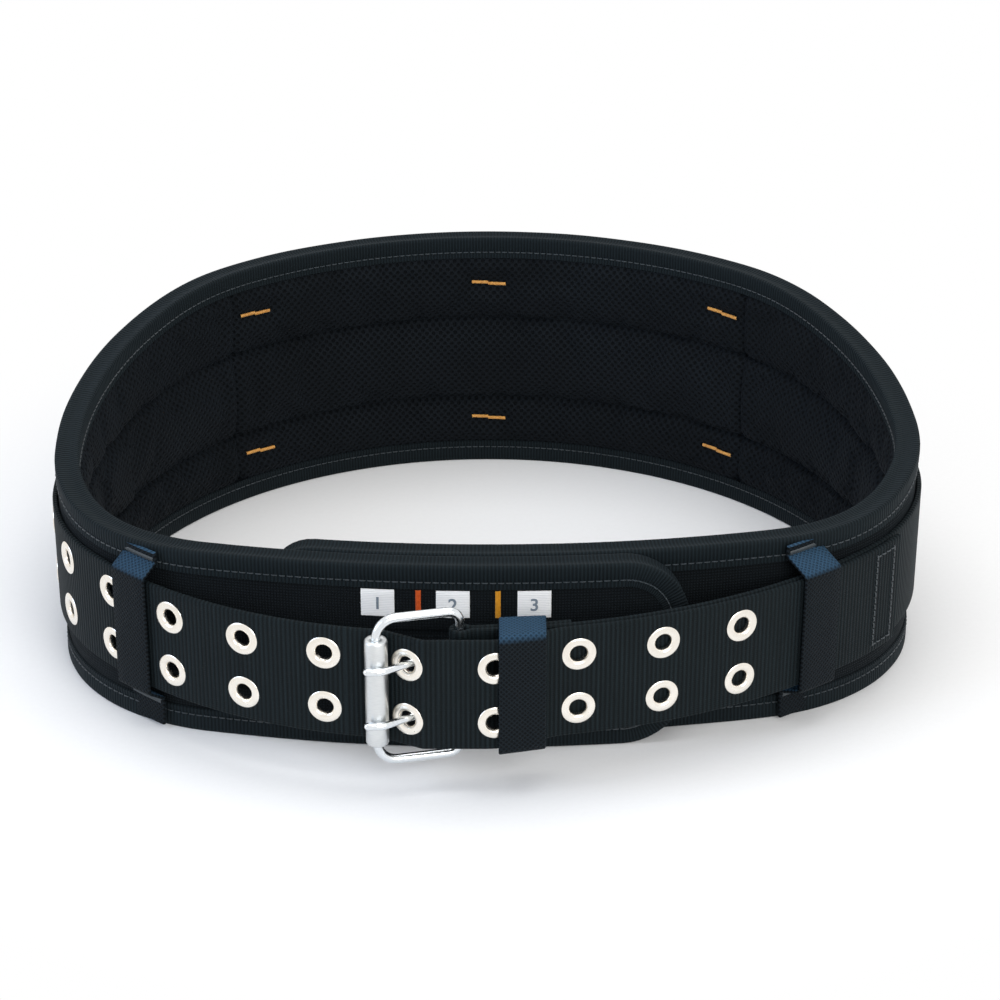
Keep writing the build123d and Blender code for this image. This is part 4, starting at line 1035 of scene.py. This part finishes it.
grommet, washer = turned_part("grommet", GROMMET), turned_part("washer", WASHER_RING)
for name, path, distances, body, node_name, washer_node in (
        ("left", STRAP_PATH, LEFT_PAIRS, "belt", "grommets", "grommet_washers"),
        ("free", END_PATH, FREE_PAIRS, "belt", "grommets", "grommet_washers"),
        ("buckle", SPAN_PATH, [BUCKLE_PAIR], "buckle_frame", "buckle_grommets", "buckle_washers")):
    for kind, model, stands_for in (("grommets", grommet, node_name), ("washers", washer, washer_node)):
        copies = []
        for place in pair_places(path, distances):
            copy = model.copy()
            copy.data = model.data.copy()
            bpy.context.scene.collection.objects.link(copy)
            copy.data.transform(laid(*place))
            copies.append(copy)
        choose(*copies)
        bpy.ops.object.join()
        group = bpy.context.object
        group.name = f"{kind}_{name}"
        outward(group, merge=0)
        smooth(group, 50)
        group.data.materials.append(nickel)
        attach(group, body)
        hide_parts(stands_for)
for model in (grommet, washer):
    bpy.data.objects.remove(model)


# ---- buckle --------------------------------------------------------------------------------------
# A double-tongue roller buckle: one bent round-wire frame, a tube that turns on its front bar, and two
# wire tongues whose eyes turn on the heel bar inside the folded webbing. Steel, nickel-plated.
WIRE_RADIUS, TONGUE_RADIUS, BORE = 2.0, 1.6, 2.06
HEEL_CORNER, FRONT_CORNER = 5.0, 8.5
TOP_HALF = (WEB_WIDTH + 2 * 7.8) / 2
reach = hypot(ROLLER[0] - HEEL[0], ROLLER[1] - HEEL[1])
toward = ((ROLLER[0] - HEEL[0]) / reach, (ROLLER[1] - HEEL[1]) / reach)


def in_row(x, y, z):
    return Vector((x * MM + shift_x, y * MM + shift_y, z * MM))


def wire(name, points, radius, closed, sides=20):
    """A round wire along points in the row's metres, its section turned as little as possible."""
    count = len(points)
    frames = []
    normal = Vector((0, 0, 1))
    for k in range(count):
        ahead = points[(k + 1) % count] - points[k] if closed or k < count - 1 else points[k] - points[k - 1]
        behind = points[k] - points[k - 1] if closed or k > 0 else ahead
        tangent = (ahead.normalized() + behind.normalized()).normalized()
        if abs(normal.dot(tangent)) > 0.95:
            normal = tangent.orthogonal()
        normal = (normal - tangent * normal.dot(tangent)).normalized()
        frames.append((points[k], normal, tangent.cross(normal)))

    def place(i, j):
        centre, first, second = frames[i % count]
        angle = 2 * pi * (j % sides) / sides
        size = radius[i % count] if isinstance(radius, list) else radius
        return centre + (first * cos(angle) + second * sin(angle)) * size * MM

    piece = skinned(name, count + (1 if closed else 0), sides + 1, lambda i, j: (i, j), place,
                    join_columns=closed)
    smooth(piece, 50)
    return piece


def frame_points():
    """Centre line of the frame: a rectangle with rounder corners beside the roller."""
    found = []
    for (u, v), radius, start in (((0, -1), HEEL_CORNER, 180), ((1, -1), FRONT_CORNER, 270),
                                  ((1, 1), FRONT_CORNER, 0), ((0, 1), HEEL_CORNER, 90)):
        cu, cv = (radius if u == 0 else reach - radius), v * (TOP_HALF - radius)
        for angle in evenly(start, start + 90, 9.0):
            du, dv = cu + radius * cos(radians(angle)), cv + radius * sin(radians(angle))
            found.append(in_row(HEEL[0] + toward[0] * du, HEEL[1] + toward[1] * du, STRAP_Z + dv))
    filled = []
    for a, b in zip(found, found[1:] + found[:1]):
        steps = max(1, round((b - a).length / (4 * MM)))
        filled += [a.lerp(b, k / steps) for k in range(steps)]
    return filled


# Nickel plate on steel: cooler and brighter than the grommets, drawn wire, faint lengthwise polish.
steel = mottled("polished_nickel_on_steel", "#d3d8dc", "#eef1f3", (900.0, 900.0, 90.0), 4.0, 0.015,
                (0.12, 0.3), Metallic=1.0)

buckle = wire("buckle_wire_frame", frame_points(), WIRE_RADIUS, True)
buckle.data.materials.append(steel)
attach(buckle, "buckle_frame")
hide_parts("buckle_frame")

roller_half = (2 * TOP_HALF - 2 * FRONT_CORNER - 0.8) / 2
lower_end = [(BORE, -roller_half + 0.3), (2.4, -roller_half), (4.0, -roller_half), (4.5, -roller_half + 0.2),
             (ROLLER_RADIUS, -roller_half + 0.9)]
tube = [(ROLLER_RADIUS, -roller_half + 0.9 + (2 * roller_half - 1.8) * k / 8) for k in range(1, 8)]
upper_end = [(radius, -height) for radius, height in reversed(lower_end)]
roller = turned_part("roller_tube", lower_end + tube + upper_end, 48)
roller.data.transform(Matrix.Translation(in_row(ROLLER[0], ROLLER[1], STRAP_Z)))
# Satin nickel tube: rolled and plated, duller than the wire.
satin_nickel = mottled("satin_nickel_tube", "#c9cccd", "#e2e4e4", (300.0, 300.0, 2500.0), 3.0, 0.02,
                       Metallic=1.0, Roughness=0.38)
roller.data.materials.append(satin_nickel)
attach(roller, "roller")
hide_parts("roller")


def rounded_line(points, radius):
    """A polyline with its inner corners rounded."""
    found = [Vector((*points[0], 0))]
    for before, corner, after in zip(points, points[1:], points[2:]):
        b, c, a = (Vector((*p, 0)) for p in (before, corner, after))
        into, out = (c - b).normalized(), (a - c).normalized()
        half = into.angle(out) / 2
        cut = radius * sin(half) / cos(half)
        first, last = c - into * cut, c + out * cut
        for k in range(9):
            share = k / 8
            found.append(first.lerp(c, share).lerp(c.lerp(last, share), share))
    found.append(Vector((*points[-1], 0)))
    filled = []
    for a, b in zip(found, found[1:]):
        steps = max(1, round((b - a).length / 2.0))
        filled += [a.lerp(b, k / steps) for k in range(steps)]
    return filled + [found[-1]]


hole = at_length(SPAN_PATH, BUCKLE_PAIR)[0]
over_roller = ROLLER[1] - ROLLER_RADIUS - PLAY - TONGUE_RADIUS
slope = atan2(hole[1] - over_roller, hole[0] - ROLLER[0] - ROLLER_RADIUS / 2)
knee = (hole[0] - (hole[1] - over_roller) / sin(slope) * cos(slope), over_roller)
foot = (hole[0] + 4.5 * cos(slope), hole[1] + 4.5 * sin(slope))
shank = rounded_line([(HEEL[0] - 3.6, HEEL[1]), foot, knee, (ROLLER[0] - 3.5, over_roller)], 6.0)
TIP_TURNS = (30, 60, 80, 89)
EYE = [(BORE, -2.1), (BORE, 2.1), (2.3, 2.3), (3.8, 2.3), (4.2, 1.9), (4.26, 1.2), (4.26, -1.2), (4.2, -1.9),
       (3.8, -2.3), (2.3, -2.3)]
for row, name in ((1, "upper_tongue"), (-1, "lower_tongue")):
    level, last = STRAP_Z + row * ROW, shank[-1]
    points = [in_row(p.x, p.y, level) for p in shank]
    points += [in_row(last.x - TONGUE_RADIUS * sin(radians(a)), last.y, level) for a in TIP_TURNS]
    sizes = [TONGUE_RADIUS] * len(shank) + [TONGUE_RADIUS * cos(radians(a)) for a in TIP_TURNS]
    prong = wire(f"{name}_shank", points, sizes, False, 18)
    eye = turned_part(f"{name}_eye", EYE, 32)
    eye.data.transform(Matrix.Translation(in_row(HEEL[0], HEEL[1], level)))
    choose(prong, eye)
    bpy.ops.object.join()
    prong.name = f"{name}_wire"
    prong.data.materials.append(steel)
    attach(prong, name)
    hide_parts(name)


# ---- keeper --------------------------------------------------------------------------------------
# A sewn ring of the same webbing, doubled, that slides along the strap and holds the free end down.
KEEPER_AHEAD, KEEPER_WIDE, KEEPER_THICK, KEEPER_CORNER = 15.9, 19.5, 1.6, 2.4
KEEPER_X, KEEPER_ROUND, AROUND = HEEL[0] + KEEPER_AHEAD, 145.0, 96
keeper_low, keeper_high = STRAP_Z - 26.8, STRAP_Z + 26.8


def narrow_ring(half_width, half_thick):
    """Section of a narrow length of webbing, a little crowned on its face."""
    front = [(-half_width + 0.5, half_thick), (-half_width * 0.5, half_thick * 1.04),
             (0.0, half_thick * 1.06), (half_width * 0.5, half_thick * 1.04),
             (half_width - 0.5, half_thick)]
    right = [(half_width - 0.1, half_thick * 0.6), (half_width, 0.0),
             (half_width - 0.1, -half_thick * 0.6)]
    back = [(half_width - 0.5, -half_thick), (0.0, -half_thick), (-half_width + 0.5, -half_thick)]
    left = [(-across, -thick) for across, thick in right]
    return front + right + back + left + [front[0]]


def keeper_point(x, turn, out):
    """A point on the keeper at a share of the way round it, in the row's metres."""
    ahead, radius = x - KEEPER_X, KEEPER_CORNER
    front = (end_level - HALF_WEB - 1.1 + ahead * sin(radians(14)) / cos(radians(14))
             - KEEPER_THICK / 2)
    back = beyond_heel(ahead + KEEPER_AHEAD, 2 * apart + 1.9)[1] + KEEPER_THICK / 2
    runs = [keeper_high - keeper_low - 2 * radius, back - front - 2 * radius] * 2
    quarter = pi / 2 * radius
    distance = turn * (sum(runs) + 4 * quarter)
    sides = [((front, keeper_low + radius), (0, 1), (-1, 0)),
             ((front + radius, keeper_high), (1, 0), (0, 1)),
             ((back, keeper_high - radius), (0, -1), (1, 0)),
             ((back - radius, keeper_low), (-1, 0), (0, -1))]
    for (start, along_it, away), run in zip(sides, runs):
        if distance <= run:
            y, z = (start[k] + along_it[k] * distance + away[k] * out for k in range(2))
            return in_row(x, y, z)
        distance -= run
        if distance <= quarter:
            angle = distance / radius
            y, z = (start[k] + along_it[k] * run - away[k] * radius
                    + (away[k] * cos(angle) + along_it[k] * sin(angle)) * (radius + out) for k in range(2))
            return in_row(x, y, z)
        distance -= quarter
    return keeper_point(x, 0.0, out)


ring = narrow_ring(KEEPER_WIDE / 2, KEEPER_THICK / 2)
keeper = skinned("keeper_webbing", AROUND + 1, len(ring),
                 lambda i, j: (i * KEEPER_ROUND / AROUND, ring[j][0]),
                 lambda i, j: keeper_point(KEEPER_X + KEEPER_WIDE / 2 + ring[j][0], (i % AROUND) / AROUND,
                                           ring[j][1]),
                 join_columns=True)
smooth(keeper, 50)

# Narrow webbing of the loops and keeper: a diagonal twill, with a painted pale-blue highlight where a fold
# turns up to the light.
loop_cloth, tree, shader = new_material("twill_loop_webbing", Roughness=0.6, Sheen_Weight=0.02,
                                        Sheen_Roughness=0.3, Sheen_Tint=colour("#b9d4ea"),
                                        Specular_IOR_Level=0.07)
uv, along, up = flat_axes(tree)
rising = ripple(tree, node(tree, "Math", {0: along, 1: up}, operation="ADD"), 2.2)
falling = ripple(tree, node(tree, "Math", {0: along, 1: up}, operation="SUBTRACT"), 2.2)
twill = node(tree, "Math", {0: rising, 1: falling}, operation="MAXIMUM")
ridges = node(tree, "Math", {0: twill, 1: 3.0}, operation="POWER")
cloud = node(tree, "TexNoise", {"Vector": uv, "Scale": 60.0, "Detail": 4.0})
tone = node(tree, "Mix", {"Factor": cloud, 6: colour("#06080a"), 7: colour("#0c1013")}, 2, data_type="RGBA")
tone = node(tree, "Mix", {"Factor": ridges, 6: tone, 7: colour("#161d22")}, 2, data_type="RGBA")
# Painted highlight: faces that point upward are mixed toward pale blue on the twill's ridges, standing in
# for the lamps' sheen on the top folds.
facing_up = node(tree, "SeparateXYZ", {0: node(tree, "NewGeometry", output="Normal")}, 2)
painted_highlight = node(tree, "MapRange", {"Value": facing_up, "From Min": 0.25, "From Max": 0.95})
on_ridges = node(tree, "MapRange", {"Value": twill, "To Min": 0.35})
painted_highlight = node(tree, "Math", {0: painted_highlight, 1: on_ridges}, operation="MULTIPLY")
tone = node(tree, "Mix", {"Factor": painted_highlight, 6: tone, 7: colour("#2f4a61")}, 2, data_type="RGBA")
surface(tree, shader, tone, twill, 0.4)
keeper.data.materials.append(loop_cloth)
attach(keeper, "keeper")
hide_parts("keeper")


# ---- belt loops ----------------------------------------------------------------------------------
# Five short lengths of twill webbing, upright on the pad, sewn above and below the strap and caught under
# the binding, so that the strap slides behind them.
LOOP_MARGIN, LOOP_HALF_WIDTH = 2.0, 10.0


def depth_behind(point, heading, centre, radius):
    inward = (-sin(radians(heading)), cos(radians(heading)))
    off = (point[0] - centre[0], point[1] - centre[1])
    along = off[0] * inward[0] + off[1] * inward[1]
    return -along - sqrt(along ** 2 - (off[0] ** 2 + off[1] ** 2 - radius ** 2))


def belt_loop(name, point, heading, depth, root, pad_radius):
    """One loop at a point and heading on the strap, on a pad this far behind it and this round. The
    root is how far above and below the strap it is sewn to the pad."""
    centre = strap_height(point[1])
    top, bottom = pad_top(point[1]) - LOOP_MARGIN - centre, -(centre - LOOP_MARGIN)
    over, edge, foot = HALF_WEB + 1.2 + 0.8, WEB_WIDTH / 2 + 1.5 + 0.6, WEB_WIDTH / 2 + root
    corners = [(-depth + 1.5, bottom), (-depth + 0.9, -foot), (over, -edge), (over, edge),
               (-depth + 0.9, foot), (-depth + 1.5, top)]
    middle_line = [(p.x, p.y) for p in rounded_line(corners, 2.2)]
    run, section = walk(middle_line), narrow_ring(LOOP_HALF_WIDTH, 0.8)
    ahead, outwards = facing(heading)

    def place(i, j):
        across, thick = section[j]
        d, z = middle_line[i]
        before, after = middle_line[max(i - 1, 0)], middle_line[min(i + 1, len(middle_line) - 1)]
        length = hypot(after[0] - before[0], after[1] - before[1])
        normal = ((after[1] - before[1]) / length, -(after[0] - before[0]) / length)
        bend = across ** 2 / (2 * pad_radius)
        return (in_row(point[0], point[1], centre + z + normal[1] * thick) + ahead * (across * MM)
                + outwards * ((d + normal[0] * thick - bend) * MM))

    loop = skinned(name, len(middle_line), len(section), lambda i, j: (run[i], section[j][0]), place)
    smooth(loop, 50)
    loop.data.materials.append(loop_cloth)
    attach(loop, "belt")
    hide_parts(name)
    tacks = []
    for level in (-foot - 1.4, foot + 1.4):
        for step in evenly(-8.5, 8.5, 0.5):
            bend = step ** 2 / (2 * pad_radius)
            middle = (in_row(point[0], point[1], centre + level) + ahead * (step * MM)
                      + outwards * ((-depth + 1.85 - bend) * MM))
            tacks.append((middle, (Vector((0, 0, 1)) + ahead * 0.12).normalized(), outwards))
    sewn = stitches(f"{name}_tacks", tacks, 2.2, 0.3, 1.0)
    sewn.data.materials.append(dark_thread)
    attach(sewn, "belt")


for side, angle in zip(("left", "centre", "right"), LOOP_ANGLES):
    name = f"belt_loop_back_{side}"
    belt_loop(name, polar(back_centre, strap_back, angle), angle + 90, OFF_PAD + HALF_WEB, 11.0,
              back_radius)
angle = left_turn + degrees(36.0 / left_radius)
point = polar(left_bend_centre, left_radius, angle)
belt_loop("belt_loop_left_front", point, angle + 90,
          depth_behind(point, angle + 90, left_centre, SIDE_RADIUS), 7.5, left_radius)
angle = lower_turn - degrees(40.0 / end_radius)
point = polar(lower_centre, end_radius, angle)
belt_loop("belt_loop_right_front", point, angle + 90,
          depth_behind(point, angle + 90, right_centre, SIDE_RADIUS), 7.5, lower_radius)


# ---- floor, light and camera ---------------------------------------------------------------------
# A plain white floor that keeps the belt's shadow, large soft lamps above, and a long lens looking down.
deselect()
bpy.ops.mesh.primitive_plane_add(size=8, location=(0, 0, 0))
floor = bpy.context.object
floor.name = "floor"
floor.data.transform(floor.matrix_world)
floor.matrix_world = Matrix.Identity(4)
paper = mottled("white_paper_floor", "#fafafa", "#ffffff", 400.0, 3.0, Roughness=0.9,
                Specular_IOR_Level=0.2)


def seen_directly(tree):
    """1 where the camera sees the surface, by itself or in metal or glass, and 0 for all other light."""
    rays = node(tree, "LightPath").node.outputs
    mirrored = node(tree, "Math", {0: rays["Is Glossy Ray"], 1: rays["Is Transmission Ray"]},
                    operation="MAXIMUM")
    return node(tree, "Math", {0: rays["Is Camera Ray"], 1: mirrored}, operation="MAXIMUM")


tree = paper.node_tree
place = node(tree, "TexCoord", output="Object")
centred = node(tree, "VectorMath", {0: place, 1: (0.0, 0.03, 0.0)}, operation="SUBTRACT")
spot = node(tree, "VectorMath", {0: centred}, "Value", operation="LENGTH")
away = node(tree, "MapRange", {"Value": spot, "From Min": 0.2, "From Max": 0.36},
            interpolation_type="SMOOTHSTEP")
share = node(tree, "Math", {0: seen_directly(tree), 1: away}, operation="MULTIPLY")
glow = node(tree, "Emission", {"Color": (1, 1, 1, 1), "Strength": 1.0})
both = node(tree, "MixShader", {0: share, 1: tree.nodes["Principled BSDF"].outputs[0], 2: glow})
tree.links.new(both, tree.nodes["Material Output"].inputs["Surface"])
floor.data.materials.append(paper)

world = bpy.data.worlds.new("studio")
bpy.context.scene.world = world
world.use_nodes = True
tree = world.node_tree
background = tree.nodes["Background"]
strength = node(tree, "MapRange", {"Value": seen_directly(tree), "To Min": 0.5, "To Max": 1.0})
tree.links.new(strength, background.inputs["Strength"])
background.inputs["Color"].default_value = (1, 1, 1, 1)


def lamp(name, place, aim, size, power, tint="#ffffff"):
    deselect()
    bpy.ops.object.light_add(type="AREA", location=place)
    made = bpy.context.object
    made.name = name
    made.data.size, made.data.energy, made.data.color = size, power, colour(tint)[:3]
    made.rotation_euler = (Vector(aim) - Vector(place)).to_track_quat("-Z", "Y").to_euler()


lamp("overhead_softbox", (0.0, 0.1, 1.3), (0, 0, 0.05), 1.2, 8.0)
lamp("front_softbox", (0.5, -1.4, 0.8), (0, -0.1, 0.05), 0.9, 14.0)
lamp("left_window", (-1.3, -0.5, 0.6), (0, -0.05, 0.05), 0.8, 7.0, "#c4dcff")

bpy.ops.object.camera_add()
camera = bpy.context.object
aim, away, tilt = Vector((0.0, 0.0187, 0.0444)), 1.304, radians(26.0)
camera.location = aim + away * Vector((0, -cos(tilt), sin(tilt)))
camera.rotation_euler = (pi / 2 - tilt, 0, 0)
camera.data.lens, camera.data.sensor_width = 100.0, 36.0
camera.data.shift_x, camera.data.shift_y = 0.012, 0.0007
bpy.context.scene.camera = camera
bpy.context.scene.view_settings.view_transform = "Standard"
